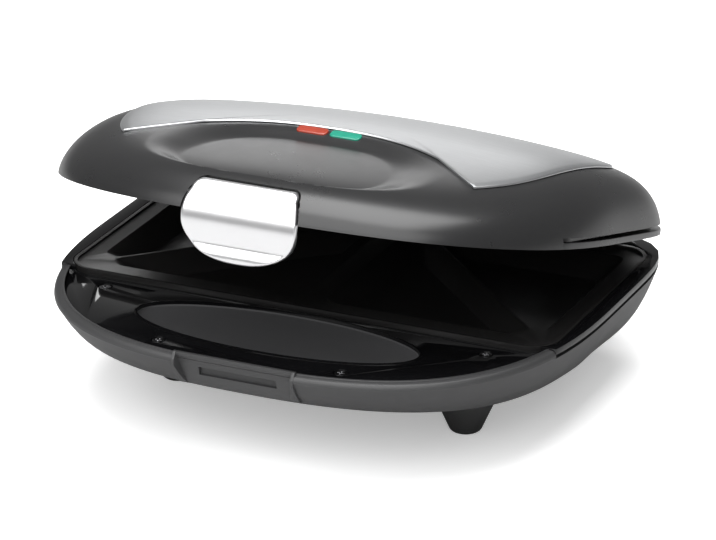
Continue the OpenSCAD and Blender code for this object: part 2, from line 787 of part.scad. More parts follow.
module base_wiring() {
    x = gland_x - block_pitch;
    fuse_z = -shield_low - fuse_drop;
    b = wire_bend_r;
    // From the terminal block to the fuse
    color([0.75, 0.2, 0.15]) {
        wire_y(x, wire_z0, element_mid + b, block_y + 3);
        translate([x, element_mid + b, wire_z0 + b]) rotate([90, 0, 90]) rotate([0, 0, 180]) wire_bend();
        wire_z(x, element_mid, wire_z0 + b, fuse_z + 0.7);
    }
    // From the terminal block to the element's near end
    color([0.2, 0.3, 0.7]) {
        wire_y(gland_x, wire_z0, element_y0 + b, block_y + 3);
        translate([gland_x - b, element_y0 + b, wire_z0]) rotate([0, 0, -90]) wire_bend();
        x_cylinder(b - element_x - 4, gland_x - b, element_y0, wire_z0, wire_r, $fn = 24);
        translate([b - element_x - 4, element_y0, wire_z0 + b]) rotate([90, 0, 0]) rotate([0, 0, 180]) wire_bend();
        wire_z(-element_x - 4, element_y0, wire_z0 + b, -element_z - 0.45);
    }
}

module lid_wiring() {
    top = shield_low + 2.2;
    b = wire_bend_r;
    // From the element's near end to the lamps
    color([0.2, 0.3, 0.7]) {
        wire_z(-element_x - 4, element_y0, element_z + 0.45, top - b);
        translate([b - element_x - 4, element_y0, top - b]) rotate([90, 0, 0]) rotate([0, 0, 90]) wire_bend();
        x_cylinder(b - element_x - 4, -16 - b, element_y0, top, wire_r, $fn = 24);
        translate([-16 - b, element_y0 - b, top]) wire_bend();
        wire_y(-16, top, 21, element_y0 - b);
    }
}

// Lid casing
module lid_screw_boss(p) {
    high = min([for (q = boss_rim(p)) lid_z_at(q[0], q[1])]) - 0.6;
    translate([0, 0, panel_bottom]) cylinder(h = high - panel_bottom, r = boss_r);
}

module pivot_cheek() {
    polygon([[-64.2, 1], [-64.2, 5.2], [-60, 10.6], [-52.5, 14], [-52.5, 1]]);
}

// Lens frame: origin at the middle of the lens, Z square to the surface
lens_w = 14.2;
lens_d = 5.2;
lens_gap = 1.4;
lens_x = (lens_w + lens_gap) / 2;
lens_y = 15.3;
lens_tilt = 27;
lamp_z = -6;

module at_lens(s) {
    translate([s * lens_x, lens_y, lid_z_at(lens_x, lens_y)]) rotate([lens_tilt, 0, 0]) children();
}

module lens_block(g, z0, z1) {
    translate([0, -lens_d / 2 - g, z0]) linear_extrude(z1 - z0) rounded_rect(lens_w + 2 * g, lens_d + 2 * g, 2 + g);
}

module lid_shell() {
    color([0.27, 0.27, 0.28])
    difference() {
        union() {
            difference() {
                ring_solid(
                    [0, broad_y, lid_z(0, broad_y, 0)],
                    concat(
                        [for (k = [0.2, 0.33, 0.45, 0.57, 0.68, 0.78, 0.84, 0.865, 0.885, 0.92, 0.95, 0.975, 0.99, 0.997, 1])
                            lid_ring(k, 0, 0)],
                        [for (k = [1, 0.985, 0.96, 0.92, 0.88, 0.8, 0.65, 0.45, 0.25]) lid_ring(k, -wall, wall)]),
                    [0, broad_y, lid_z(0, broad_y, 0) - wall]);
                // The side walls stop above the frame's flange and leave the ventilation gap
                translate([-far, step_y, vent_z - far]) cube([2 * far, far, far]);
                // Window in the front wall for the latch, and room for its top edge to swing in
                translate([0, latch_top[0] + 5.2, 0]) rotate([90, 0, 0]) linear_extrude(40) latch_front(0.7);
                x_cylinder(5.5 - latch_half_w, latch_half_w - 5.5, pivot_y, pivot_z,
                           norm([latch_top[0] - pivot_y, latch_top[1] - pivot_z]) + 0.7);
            }
            for (s = [-1, 1])
                side_prism(s * (window_half_w + pivot_boss_t / 2 + 0.3) - pivot_boss_t / 2,
                           s * (window_half_w + pivot_boss_t / 2 + 0.3) + pivot_boss_t / 2) pivot_cheek();
            for (s = [-1, 1])
                side_prism(s * hinge_x - knuckle_w / 2, s * hinge_x + knuckle_w / 2) knuckle_profile();
            for (p = [side_screw, lid_front_screw]) both_sides(p) lid_screw_boss(p);
        }
        for (s = [-1, 1]) {
            x_cylinder(s * hinge_x - knuckle_w, s * hinge_x + knuckle_w, hinge_y, hinge_z, hinge_pin_r + run_gap);
            at_lens(s) lens_block(0.1, -8, 8);
        }
        x_cylinder(-window_half_w - pivot_boss_t - 0.3, window_half_w + pivot_boss_t + 0.3,
                   pivot_y, pivot_z, latch_pin_r);
        for (p = [side_screw, lid_front_screw]) both_sides(p) cylinder(h = screw_end, r = screw_r);
    }
}

// Front edge of the cover plate
function cover_front(x) = cover_front_y - cover_dip * pow(abs(x) / cover_dip_x, cover_dip_power);

// Distance from the outline's centre to the front edge in direction t, by halving
function front_reach_at(t, lo, hi, n) =
    n == 0 ? lo
    : let (m = (lo + hi) / 2)
      broad_y + m * sin(t) >= cover_front(m * cos(t)) ? front_reach_at(t, m, hi, n - 1)
      : front_reach_at(t, lo, m, n - 1);

// The nearer of the front edge and the side edge, rounded over where they meet
function cover_reach(t) =
    let (side = cover_share * reach(t, 0),
         front = front_reach_at(t, 0, 2 * side, 18),
         h = max(0, cover_corner - abs(side - front)))
    min(side, front) - h * h / (4 * cover_corner);

function cover_ring(u, lift) =
    [for (i = [0 : outline_points - 1])
        let (t = 360 * i / outline_points,
             r = u * cover_reach(t),
             x = r * cos(t),
             y = broad_y + r * sin(t))
        [x, y, lid_dome(x, y, share_at(x, y)) + lift]];

module cover_plate() {
    low = cover_gap;
    color([0.8, 0.8, 0.82])
    ring_solid(
        [0, broad_y, lid_dome(0, broad_y, 0) + cover_t],
        concat([for (u = [0.15, 0.32, 0.48, 0.62, 0.74, 0.83, 0.9, 0.955]) cover_ring(u, cover_t)],
               [cover_ring(0.993, cover_t), cover_ring(1, cover_t - 0.6), cover_ring(1, low)],
               [for (u = [0.955, 0.9, 0.83, 0.74, 0.62, 0.48, 0.32, 0.15]) cover_ring(u, low)]),
        [0, broad_y, lid_dome(0, broad_y, 0) + low]);
}

module lens(s) {
    at_lens(s) union() {
        lens_block(0, -2, 0.6);
        lens_block(-0.6, -3.2, -1.9);
    }
}

module lamp(s) {
    color([0.95, 0.8, 0.6])
    at_lens(s) {
        x_cylinder(-5.5, 5.5, 0, lamp_z, 1.8);
        x_cylinder(0.4 - lens_x, lens_x - 0.4, 0, lamp_z, 0.4);
    }
}

// Clip that carries both lamps below the lenses
module lamp_holder() {
    w = 2 * lens_x + 0.4;
    color([0.2, 0.2, 0.2])
    at_lens(0) {
        translate([-w, -3, lamp_z - 3.4]) cube([2 * w, 6, 1.2]);
        for (x = [-w, -0.75, w - 1.5]) difference() {
            translate([x, -3, lamp_z - 2.3]) cube([1.5, 6, 3.9]);
            x_cylinder(x - 1, x + 3, 0, lamp_z, 0.5);
        }
    }
}

module lid_frame() {
    color([0.06, 0.06, 0.065])
    mirror([0, 0, 1])
    difference() {
        union() {
            frame_ring();
            front_panel(0.97, wall);
        }
        // Room for the latch and its pivot
        translate([-window_half_w - pivot_boss_t - 2, -handle_reach - 10, -20])
            cube([2 * (window_half_w + pivot_boss_t + 2), 10 + handle_reach - 48, 40]);
        screw_hole(side_screw);
        screw_hole(lid_front_screw);
    }
}

module latch_pin() {
    color([0.7, 0.7, 0.72])
    x_cylinder(-window_half_w - pivot_boss_t - 0.3, window_half_w + pivot_boss_t + 0.3, pivot_y, pivot_z, latch_pin_r);
}

// Side view of the latch: a shield that carries on the curve of the lid's front
function latch_outer() = [for (p = [
    [7.3, 13], [5.6, 11.8], [3.7, 10], [2.3, 7.9], [1.1, 5], [0.3, 2], [0, -1.5], [0.5, -5], [1.7, -8.6],
    [2.9, -11.6], [3.4, -13.2], [3.3, -15.2], [3.1, 2.4 - latch_drop], [3.7, 0.9 - latch_drop],
    [4.8, -latch_drop]]) [p[0] - handle_reach, p[1]]];

function latch_inner() = [for (p = [
    [5.8, 0.8 - latch_drop], [6.3, -16], [6.1, -13], [5.2, -10], [3.9, -6.5], [2.7, -3], [2.4, 0], [2.7, 3],
    [3.7, 6.2], [5.2, 8.8], [7.4, 10.6], [8.3, 12]]) [p[0] - handle_reach, p[1]]];

// Right half of the latch's front view, grown by g: a broad arc below, rounded corners above
function latch_half(g) = concat(
    [for (i = [0 : 5]) let (t = 90 - 15 * i)
        [latch_half_w - 6.3 + (4 + g) * cos(t), latch_top[1] - 3.8 + (4 + g) * sin(t)]],
    [[latch_half_w - 1.1 + g, 6], [latch_half_w - 0.3 + g, 2.5], [latch_half_w + g, -1]],
    [for (i = [0 : 11]) let (t = 7.5 * i)
        [(latch_half_w + g) * pow(cos(t), 0.9), -3 - (latch_drop - 3 + g) * pow(sin(t), 0.9)]]);

module latch_front(g) {
    h = latch_half(g);
    polygon(concat(h, [[0, -latch_drop - g]], [for (i = [len(h) - 1 : -1 : 0]) [-h[i][0], h[i][1]]]));
}

module latch() {
    color([0.88, 0.88, 0.9])
    difference() {
        union() {
            intersection() {
                side_prism(-latch_half_w, latch_half_w) polygon(concat(latch_outer(), latch_inner()));
                rotate([90, 0, 0]) linear_extrude(200) latch_front(0);
            }
            // Cheeks that run on the pin
            for (s = [-1, 1]) side_prism(s * (latch_half_w - 3.8) - 1.2, s * (latch_half_w - 3.8) + 1.2) {
                translate([pivot_y, pivot_z]) circle(latch_pin_r + 2);
                polygon([[pivot_y, pivot_z + 3.4], [4.2 - handle_reach, 8], [1.6 - handle_reach, 3],
                         [1.4 - handle_reach, 0.4], [pivot_y, pivot_z - 3.4]]);
            }
            // Hook
            side_prism(-hook_half_w, hook_half_w)
                polygon([[3.6 - handle_reach, -hook_top], [hook_y, -hook_top],
                         [hook_y, -hook_top - 0.7], [3.6 - handle_reach, -hook_top - hook_h]]);
        }
        x_cylinder(-50, 50, pivot_y, pivot_z, latch_pin_r + run_gap);
    }
}

// Place what belongs to the base
module base_body() {
    translate([0, -mid_y, parting_h]) children();
}

// Place what belongs to the lid, turned open about the hinge
module lid_body() {
    translate([0, hinge_y - mid_y, parting_h + hinge_z])
        rotate([-open_deg, 0, 0])
            translate([0, -hinge_y, -hinge_z]) children();
}

base_body() base_shell();
base_body() catch_panel();
base_body() base_frame();
base_body() color([0.08, 0.08, 0.08]) cooking_plate();  // lower_cooking_plate
base_body() color([0.5, 0.4, 0.35]) heating_element();  // lower_heating_element
base_body() color([0.75, 0.76, 0.78]) heat_shield();  // lower_heat_shield
base_body() color([0.7, 0.7, 0.7]) shield_screws();  // lower_shield_screws
base_body() color([0.6, 0.6, 0.62]) frame_screws(front_screw);  // base_frame_screws
base_body() foot(-foot_x, foot_front_y);  // foot_front_left
base_body() foot(foot_x, foot_front_y);  // foot_front_right
base_body() foot(-foot_x, foot_rear_y);  // foot_rear_left
base_body() foot(foot_x, foot_rear_y);  // foot_rear_right
base_body() hinge_pin(-1);  // hinge_pin_left
base_body() hinge_pin(1);  // hinge_pin_right
base_body() thermostat();
base_body() thermal_fuse();
base_body() terminal_block();
base_body() cord_gland();
base_body() base_wiring();
lid_body() lid_shell();
lid_body() cover_plate();
lid_body() color([0.8, 0.15, 0.08]) lens(-1);  // red_lens
lid_body() color([0.05, 0.55, 0.4]) lens(1);  // green_lens
lid_body() lamp(-1);  // red_lamp
lid_body() lamp(1);  // green_lamp
lid_body() lamp_holder();
lid_body() lid_frame();
lid_body() color([0.08, 0.08, 0.08]) mirror([0, 0, 1]) cooking_plate();  // upper_cooking_plate
lid_body() color([0.5, 0.4, 0.35]) mirror([0, 0, 1]) heating_element();  // upper_heating_element
lid_body() color([0.75, 0.76, 0.78]) mirror([0, 0, 1]) heat_shield();  // upper_heat_shield
lid_body() color([0.7, 0.7, 0.7]) mirror([0, 0, 1]) shield_screws();  // upper_shield_screws
lid_body() color([0.6, 0.6, 0.62]) mirror([0, 0, 1]) frame_screws(lid_front_screw);  // lid_frame_screws
lid_body() lid_wiring();
lid_body() latch_pin();
lid_body() latch();
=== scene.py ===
# %% [markdown]
# # A sandwich toaster, dressed for its picture
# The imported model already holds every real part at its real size. This lesson loads it, then builds
# the smooth casings, the cover and the latch around it, and gives each part the finish it has on the
# real object: satin plastic, gloss plastic, brushed metal, bright metal, enamel and glass.

# %% Load the frame
import bmesh
import bpy
import math
from mathutils import Matrix, Vector


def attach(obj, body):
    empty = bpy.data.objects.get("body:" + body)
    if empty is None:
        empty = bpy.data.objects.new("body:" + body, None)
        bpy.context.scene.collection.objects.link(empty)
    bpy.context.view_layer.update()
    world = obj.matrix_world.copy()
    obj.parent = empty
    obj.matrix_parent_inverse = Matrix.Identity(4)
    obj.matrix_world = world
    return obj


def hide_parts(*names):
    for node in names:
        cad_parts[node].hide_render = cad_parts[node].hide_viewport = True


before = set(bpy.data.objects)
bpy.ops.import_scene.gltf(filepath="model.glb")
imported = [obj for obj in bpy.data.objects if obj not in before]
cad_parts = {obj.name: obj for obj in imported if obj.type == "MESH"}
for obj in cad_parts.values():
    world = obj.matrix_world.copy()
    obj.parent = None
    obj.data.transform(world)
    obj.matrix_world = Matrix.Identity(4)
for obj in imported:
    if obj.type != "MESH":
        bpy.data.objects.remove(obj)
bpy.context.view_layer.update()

# %% [markdown]
# ## Where things are
# The toaster is drawn closed, in millimetres, with Y = 0 at the front edge of its plates and Z = 0
# where its halves meet. One matrix puts what belongs to the base in the frame, in metres. The other
# first turns it open about the hinge, because that is how the lid and the latch stand at rest.

# %% The two placing matrices
MIDDLE_Y = 43.5
PARTING_HEIGHT = 52.6
HINGE_Y = 149.0
HINGE_Z = 2.0
OPEN_DEGREES = 16.6

into_metres = Matrix.Scale(0.001, 4)
to_frame = into_metres @ Matrix.Translation((0, -MIDDLE_Y, PARTING_HEIGHT))
turn_open = (Matrix.Translation((0, HINGE_Y, HINGE_Z))
             @ Matrix.Rotation(math.radians(-OPEN_DEGREES), 4, "X")
             @ Matrix.Translation((0, -HINGE_Y, -HINGE_Z)))
PLACE = {"base": to_frame, "lid": to_frame @ turn_open, "latch": to_frame @ turn_open}
print("plates' front edge at", [round(x, 4) for x in PLACE["base"] @ Vector((0, 0, 0))])

# %% [markdown]
# ## The camera
# A long lens far away, looking down by 22 degrees from the right of the handle. The angles and the
# distance were fitted to points of the casing that the picture shows.

# %% Camera
AZIMUTH, ELEVATION, DISTANCE = math.radians(24.46), math.radians(22.27), 1.9494
FOCAL_PIXELS, PICTURE_WIDTH = 4500.0, 716.0
look_at = Vector((0.00543, 0.00328, 0.0526))
backwards = Vector((math.sin(AZIMUTH) * math.cos(ELEVATION),
                    -math.cos(AZIMUTH) * math.cos(ELEVATION), math.sin(ELEVATION)))
camera = bpy.data.objects.new("camera", bpy.data.cameras.new("camera"))
camera.data.sensor_width = 36
camera.data.lens = FOCAL_PIXELS / PICTURE_WIDTH * 36
camera.data.clip_end = 50
camera.location = look_at + backwards * DISTANCE
camera.rotation_euler = (-backwards).to_track_quat("-Z", "Y").to_euler()
bpy.context.scene.collection.objects.link(camera)
bpy.context.scene.camera = camera
print("lens", round(camera.data.lens, 1), "mm")

# %% [markdown]
# ## The outline and the two curved surfaces
# Both casings share one outline: a superellipse that is blunt at the hinge and rounder at the
# handle. A share of 1 is the outline itself and 0 its centre, so rings of falling share walk from
# the rim to the middle, and the height formulas give each ring its place.

# %% Outline
HALF_WIDTH, BROAD_Y = 121.0, 56.0
FRONT_LENGTH, REAR_LENGTH = 124.5, 82.0
FRONT_ROUND, REAR_ROUND = 2.7, 6.5
STEP_Y = 2.4
WALL = 2.4
PART_GAP = 0.3
SIDE_CUT = PART_GAP + 2.6 + 1.9


def outline_point(angle, share, grow=0.0):
    """The outline's point in that direction, drawn in to a share and grown by some millimetres."""
    power = FRONT_ROUND if math.sin(angle) < 0 else REAR_ROUND
    length = (FRONT_LENGTH if math.sin(angle) < 0 else REAR_LENGTH) + grow
    c = abs(math.cos(angle)) / (HALF_WIDTH + grow)
    s = abs(math.sin(angle)) / length
    reach = share * (c ** power + s ** power) ** (-1 / power)
    return reach * math.cos(angle), BROAD_Y + reach * math.sin(angle)


def share_at(x, y):
    """The share of the outline at which a point lies."""
    power = FRONT_ROUND if y < BROAD_Y else REAR_ROUND
    length = FRONT_LENGTH if y < BROAD_Y else REAR_LENGTH
    return ((abs(x) / HALF_WIDTH) ** power + (abs(y - BROAD_Y) / length) ** power) ** (1 / power)


print("front of the outline:", [round(v, 2) for v in outline_point(-math.pi / 2, 1)])


# %% Height of the lid
def smooth(u):
    v = min(1.0, max(0.0, u))
    return v * v * (3 - 2 * v)


def crown(x, y):
    """A long slope up from the handle, then a gentle fall to the hinge."""
    return (33.4 + 0.211 / 2 * ((y - 32) - math.hypot(y - 32, 25) + 25)
            - 0.1 / 2 * ((y - 76) + math.hypot(y - 76, 20) - 20) - 0.00062 * x * x)


def grip_share(x, y):
    return ((abs(x) / 66) ** 2.6 + (abs(y + 18) / 36) ** 2.6) ** (1 / 2.6)


def grip_width(x, y):
    """How much of the hollow its edge takes up: crisp in front, soft at the ends and towards the cover."""
    return 0.05 + 0.27 * smooth((y + 50) / 60) + 0.22 * smooth((abs(x) - 15) / 45)


def grip(x, y):
    return 3.4 * smooth((1 - grip_share(x, y)) / grip_width(x, y))


def lid_dome(x, y, share):
    return crown(x, y) * max(0.0, 1 - share ** 14) ** (1 / 1.75)


def lid_height(x, y, share):
    """Height of the outer skin, a hair below the exact dome so that it stays inside the real casing."""
    return max(PART_GAP, lid_dome(x, y, share) - grip(x, y) - 0.015)


print("lid crown:", round(lid_height(0, 60, share_at(0, 60)), 2), "mm above the parting plane")


# %% Height of the base's underside
def base_height(x, y, share):
    """A ramp down from the handle to a flat floor, with a wall that bulges widest at Z = -4."""
    floor = min(40.0, 20 + 0.178 * (y + 60))
    c = (x / HALF_WIDTH) ** 2
    s = ((y - BROAD_Y) / (FRONT_LENGTH if y < BROAD_Y else REAR_LENGTH)) ** 2
    power = 18.8 - 8.8 * c / (c + s + 0.0001)
    return -4 - (floor - 4) * max(0.0, 1 - share ** power) ** (1 / 0.9)


print("base depth:", round(-base_height(0, 60, 0), 1), "mm")


# %% [markdown]
# ## Helpers that grow a shell ring by ring
# `create_circle` gives the first ring, and each vertex keeps its angle in a float layer, which
# extruded vertices inherit. Growing a shell is then one extrusion of the ring's edges after
# another, each moved to where the surface formulas put it.

# %% Ring helpers
def first_ring(bm, count, point):
    """A closed ring of vertices at point(angle). Each of them keeps its own angle."""
    around = bm.verts.layers.float.new("around")
    made = bmesh.ops.create_circle(bm, cap_ends=False, radius=1, segments=count)
    for v in made["verts"]:
        v[around] = math.atan2(v.co.y, v.co.x)
        v.co = point(v[around])
    return list(bm.edges)


def next_ring(bm, edges, point):
    """The ring extruded once, to point(angle)."""
    around = bm.verts.layers.float["around"]
    made = bmesh.ops.extrude_edge_only(bm, edges=edges)["geom"]
    verts = {g for g in made if isinstance(g, bmesh.types.BMVert)}
    for v in verts:
        v.co = point(v[around])
    return [g for g in made if isinstance(g, bmesh.types.BMEdge) and set(g.verts) <= verts]


def close_ring(bm, edges, centre):
    """The ring drawn together in one point, so that no hole is left at the pole."""
    made = bmesh.ops.extrude_edge_only(bm, edges=edges)["geom"]
    verts = [g for g in made if isinstance(g, bmesh.types.BMVert)]
    bmesh.ops.pointmerge(bm, verts=verts, merge_co=centre)


# %% [markdown]
# ## Helpers that cut, round and hand over a piece
# A window is cut with Blender's Boolean modifier, applied at once. An edge counts as sharp where its
# two faces turn by more than a given angle, and everything else is shaded smooth.

# %% Piece helpers
def object_of(name, bm):
    mesh = bpy.data.meshes.new(name)
    bm.to_mesh(mesh)
    bm.free()
    made = bpy.data.objects.new(name, mesh)
    bpy.context.scene.collection.objects.link(made)
    return made


def combine(bm, tool, how):
    """bm with the tool's shape joined to it or cut out of it."""
    body, other = object_of("work", bm), object_of("tool", tool)
    step = body.modifiers.new("combine", "BOOLEAN")
    step.operation, step.object, step.solver = how, other, "EXACT"
    solid = bpy.data.meshes.new_from_object(body.evaluated_get(bpy.context.evaluated_depsgraph_get()))
    for work in (body, other):
        mesh = work.data
        bpy.data.objects.remove(work)
        bpy.data.meshes.remove(mesh)
    result = bmesh.new()
    result.from_mesh(solid)
    bpy.data.meshes.remove(solid)
    return result


def sharpen(bm, degrees):
    """Smooth faces, with every edge that turns by more than some degrees kept sharp."""
    for f in bm.faces:
        f.smooth = True
    for e in bm.edges:
        e.smooth = len(e.link_faces) == 2 and e.calc_face_angle(0) < math.radians(degrees)


def sharp_edges(bm, degrees):
    return [e for e in bm.edges
            if len(e.link_faces) == 2 and e.calc_face_angle(0) > math.radians(degrees)]


def round_edges(bm, edges, size, segments=2):
    bmesh.ops.bevel(bm, geom=edges, offset=size, offset_type="OFFSET", affect="EDGES",
                    segments=segments, profile=0.5, clamp_overlap=True, material=-1)


def hand_over(name, bm, body, finish, stands_for=(), degrees=32, placed=False):
    """The finished mesh as a piece that rides on a body and stands for some of the frame's parts."""
    if not placed:
        bm.transform(PLACE[body])
    sharpen(bm, degrees)
    made = object_of(name, bm)
    made.data.materials.append(finish)
    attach(made, body)
    if stands_for:
        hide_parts(*stands_for)
    print(name, len(made.data.polygons), "faces")
    return made


# %% [markdown]
# ## Effects that several finishes share
# Moulded plastic has a fine grain and is never equally glossy all over, because it is handled and
# wiped. Both effects are node groups with named inputs, so that each finish sets its own strength.

# %% Shared effects
def effect(name, inputs, outputs):
    """An empty node group with float inputs and float outputs, and its two end nodes."""
    group = bpy.data.node_groups.new(name, "ShaderNodeTree")
    for label, value in inputs:
        socket = group.interface.new_socket(label, in_out="INPUT", socket_type="NodeSocketFloat")
        socket.default_value = value
    for label in outputs:
        group.interface.new_socket(label, in_out="OUTPUT", socket_type="NodeSocketFloat")
    return group, group.nodes.new("NodeGroupInput"), group.nodes.new("NodeGroupOutput")


def math_node(tree, operation, a, b=None, clamp=False):
    node = tree.nodes.new("ShaderNodeMath")
    node.operation, node.use_clamp = operation, clamp
    for socket, value in zip(node.inputs, (a, b)):
        if value is None:
            continue
        if isinstance(value, (int, float)):
            socket.default_value = value
        else:
            tree.links.new(value, socket)
    return node.outputs[0]


def object_place(tree, scale=(1, 1, 1), shift=(0, 0, 0)):
    """Object coordinates in metres, stretched and shifted."""
    coordinates = tree.nodes.new("ShaderNodeTexCoord")
    mapping = tree.nodes.new("ShaderNodeMapping")
    mapping.inputs["Scale"].default_value = scale
    mapping.inputs["Location"].default_value = shift
    tree.links.new(coordinates.outputs["Object"], mapping.inputs["Vector"])
    return mapping.outputs["Vector"]


def noise(tree, vector, scale, detail=2.0, roughness=0.5):
    node = tree.nodes.new("ShaderNodeTexNoise")
    node.inputs["Detail"].default_value = detail
    node.inputs["Roughness"].default_value = roughness
    tree.links.new(vector, node.inputs["Vector"])
    if isinstance(scale, (int, float)):
        node.inputs["Scale"].default_value = scale
    else:
        tree.links.new(scale, node.inputs["Scale"])
    return node.outputs["Fac"]


grain, grain_in, grain_out = effect("moulded_grain", [("Scale", 1800.0)], ["Height"])
grain.links.new(noise(grain, object_place(grain), grain_in.outputs["Scale"], 3.0, 0.6),
                grain_out.inputs["Height"])

handling, handling_in, handling_out = effect(
    "handling", [("Mean", 0.4), ("Spread", 0.06)], ["Roughness", "Tone"])
broad = noise(handling, object_place(handling, (1, 1, 1.4)), 14.0, 4.0, 0.55)
fine = noise(handling, object_place(handling, (1.3, 1, 1)), 160.0, 3.0, 0.6)
swing = math_node(handling, "ADD", math_node(handling, "MULTIPLY", broad, 0.7),
                  math_node(handling, "MULTIPLY", fine, 0.3))
centred = math_node(handling, "SUBTRACT", swing, 0.5)
spread = math_node(handling, "MULTIPLY", centred, handling_in.outputs["Spread"])
handling.links.new(math_node(handling, "ADD", math_node(handling, "MULTIPLY", spread, 4.0),
                             handling_in.outputs["Mean"], True), handling_out.inputs["Roughness"])
handling.links.new(swing, handling_out.inputs["Tone"])

streaks, streaks_in, streaks_out = effect("brushing", [("Scale", 900.0)], ["Height", "Tone"])
drawn_out = object_place(streaks, (0.025, 1.0, 1.0))
line = noise(streaks, drawn_out, streaks_in.outputs["Scale"], 4.0, 0.65)
streaks.links.new(line, streaks_out.inputs["Height"])
streaks.links.new(line, streaks_out.inputs["Tone"])
print("shared effects:", [g.name for g in bpy.data.node_groups])

# %% [markdown]
# ## Finishes
# Each finish is one Principled shader. Its colour is mixed between two close tones by the handling
# effect, its roughness comes from the same effect, and a small bump carries the grain.


# %% Finish helpers
def tone_mix(tree, factor, dark, light):
    mix = tree.nodes.new("ShaderNodeMix")
    mix.data_type = "RGBA"
    tree.links.new(factor, mix.inputs[0])
    mix.inputs[6].default_value = (*dark, 1)
    mix.inputs[7].default_value = (*light, 1)
    return mix.outputs[2]


def placed_group(tree, group, **values):
    node = tree.nodes.new("ShaderNodeGroup")
    node.node_tree = group
    for label, value in values.items():
        node.inputs[label].default_value = value
    return node


def start_finish(name):
    made = bpy.data.materials.new(name)
    made.use_nodes = True
    tree = made.node_tree
    return made, tree, tree.nodes["Principled BSDF"]


def plastic(name, dark, light, mean, spread, bump=0.05, grain_scale=1800.0, specular=0.5, coat=0.0):
    """Moulded plastic: two close tones, uneven gloss and a fine grain."""
    made, tree, shader = start_finish(name)
    wiped = placed_group(tree, handling, Mean=mean, Spread=spread)
    tree.links.new(tone_mix(tree, wiped.outputs["Tone"], dark, light), shader.inputs["Base Color"])
    tree.links.new(wiped.outputs["Roughness"], shader.inputs["Roughness"])
    bumps = tree.nodes.new("ShaderNodeBump")
    bumps.inputs["Strength"].default_value = bump
    bumps.inputs["Distance"].default_value = 0.0001
    tree.links.new(placed_group(tree, grain, Scale=grain_scale).outputs["Height"], bumps.inputs["Height"])
    tree.links.new(bumps.outputs["Normal"], shader.inputs["Normal"])
    shader.inputs["Specular IOR Level"].default_value = specular
    shader.inputs["Coat Weight"].default_value = coat
    shader.inputs["Coat Roughness"].default_value = 0.08
    return made


def metal(name, dark, light, mean, spread, streak=0.0, streak_scale=900.0):
    """Metal, drawn or brushed along X where streak is above 0."""
    made, tree, shader = start_finish(name)
    wiped = placed_group(tree, handling, Mean=mean, Spread=spread)
    tree.links.new(wiped.outputs["Roughness"], shader.inputs["Roughness"])
    brushed = placed_group(tree, streaks, Scale=streak_scale)
    tone = brushed.outputs["Tone"] if streak else wiped.outputs["Tone"]
    tree.links.new(tone_mix(tree, tone, dark, light), shader.inputs["Base Color"])
    bumps = tree.nodes.new("ShaderNodeBump")
    bumps.inputs["Strength"].default_value = streak
    bumps.inputs["Distance"].default_value = 0.0001
    tree.links.new(brushed.outputs["Height"], bumps.inputs["Height"])
    if streak:
        tree.links.new(bumps.outputs["Normal"], shader.inputs["Normal"])
    shader.inputs["Metallic"].default_value = 1.0
    return made


# %% The tray's satin floor
def satin_inside(finish, centre, half, level, colour, roughness):
    """The finish turned satin inside an upright oval and below a level, all in metres."""
    tree = finish.node_tree
    shader = tree.nodes["Principled BSDF"]
    oval = tree.nodes.new("ShaderNodeVectorMath")
    oval.operation = "LENGTH"
    tree.links.new(object_place(tree, (1 / half[0], 1 / half[1], 0),
                                (-centre[0] / half[0], -centre[1] / half[1], 0)), oval.inputs[0])
    height = tree.nodes.new("ShaderNodeSeparateXYZ")
    tree.links.new(object_place(tree), height.inputs[0])
    inside = math_node(tree, "MULTIPLY", math_node(tree, "LESS_THAN", oval.outputs["Value"], 1.0),
                       math_node(tree, "LESS_THAN", height.outputs["Z"], level))
    for label, kind, value in (("Base Color", "RGBA", (*colour, 1)), ("Roughness", "FLOAT", roughness)):
        mix = tree.nodes.new("ShaderNodeMix")
        mix.data_type = kind
        first = 6 if kind == "RGBA" else 2
        tree.links.new(inside, mix.inputs[0])
        tree.links.new(shader.inputs[label].links[0].from_socket, mix.inputs[first])
        mix.inputs[first + 1].default_value = value
        tree.links.new(mix.outputs[2 if kind == "RGBA" else 0], shader.inputs[label])


# %% Finishes of the outside
casing_finish = plastic("satin_casing", (0.013, 0.013, 0.0135), (0.018, 0.018, 0.0185), 0.29, 0.04)
base_finish = plastic("matt_base", (0.03, 0.03, 0.031), (0.037, 0.037, 0.038), 0.46, 0.04)
gloss_finish = plastic("gloss_panel", (0.003, 0.003, 0.0034), (0.005, 0.005, 0.0055), 0.07, 0.03, bump=0.01)
satin_inside(gloss_finish, (0, -0.0675), (0.066, 0.0228), 0.0486, (0.058, 0.058, 0.06), 0.5)
cooking_finish = plastic("nonstick_plate", (0.008, 0.008, 0.008), (0.014, 0.013, 0.013), 0.36, 0.06,
                         bump=0.25, grain_scale=3200.0)
foot_finish = plastic("rubber_foot", (0.026, 0.026, 0.026), (0.036, 0.036, 0.036), 0.62, 0.05, bump=0.2)
cover_finish = metal("brushed_cover", (0.6, 0.61, 0.62), (0.73, 0.74, 0.75), 0.36, 0.03, streak=0.25)
latch_finish = metal("bright_latch", (0.9, 0.9, 0.91), (0.96, 0.96, 0.97), 0.28, 0.01)
steel_finish = metal("plain_steel", (0.5, 0.5, 0.51), (0.62, 0.62, 0.63), 0.32, 0.06)
screw_finish = metal("dark_screw", (0.3, 0.3, 0.31), (0.38, 0.38, 0.39), 0.24, 0.04)
print("finishes:", len(bpy.data.materials))


# %% [markdown]
# ## Lenses and small inner parts
# The lenses are tinted, slightly cloudy plastic that passes light, so they glow a little against
# the dark casing. The inner parts have the plain finishes of their real materials.

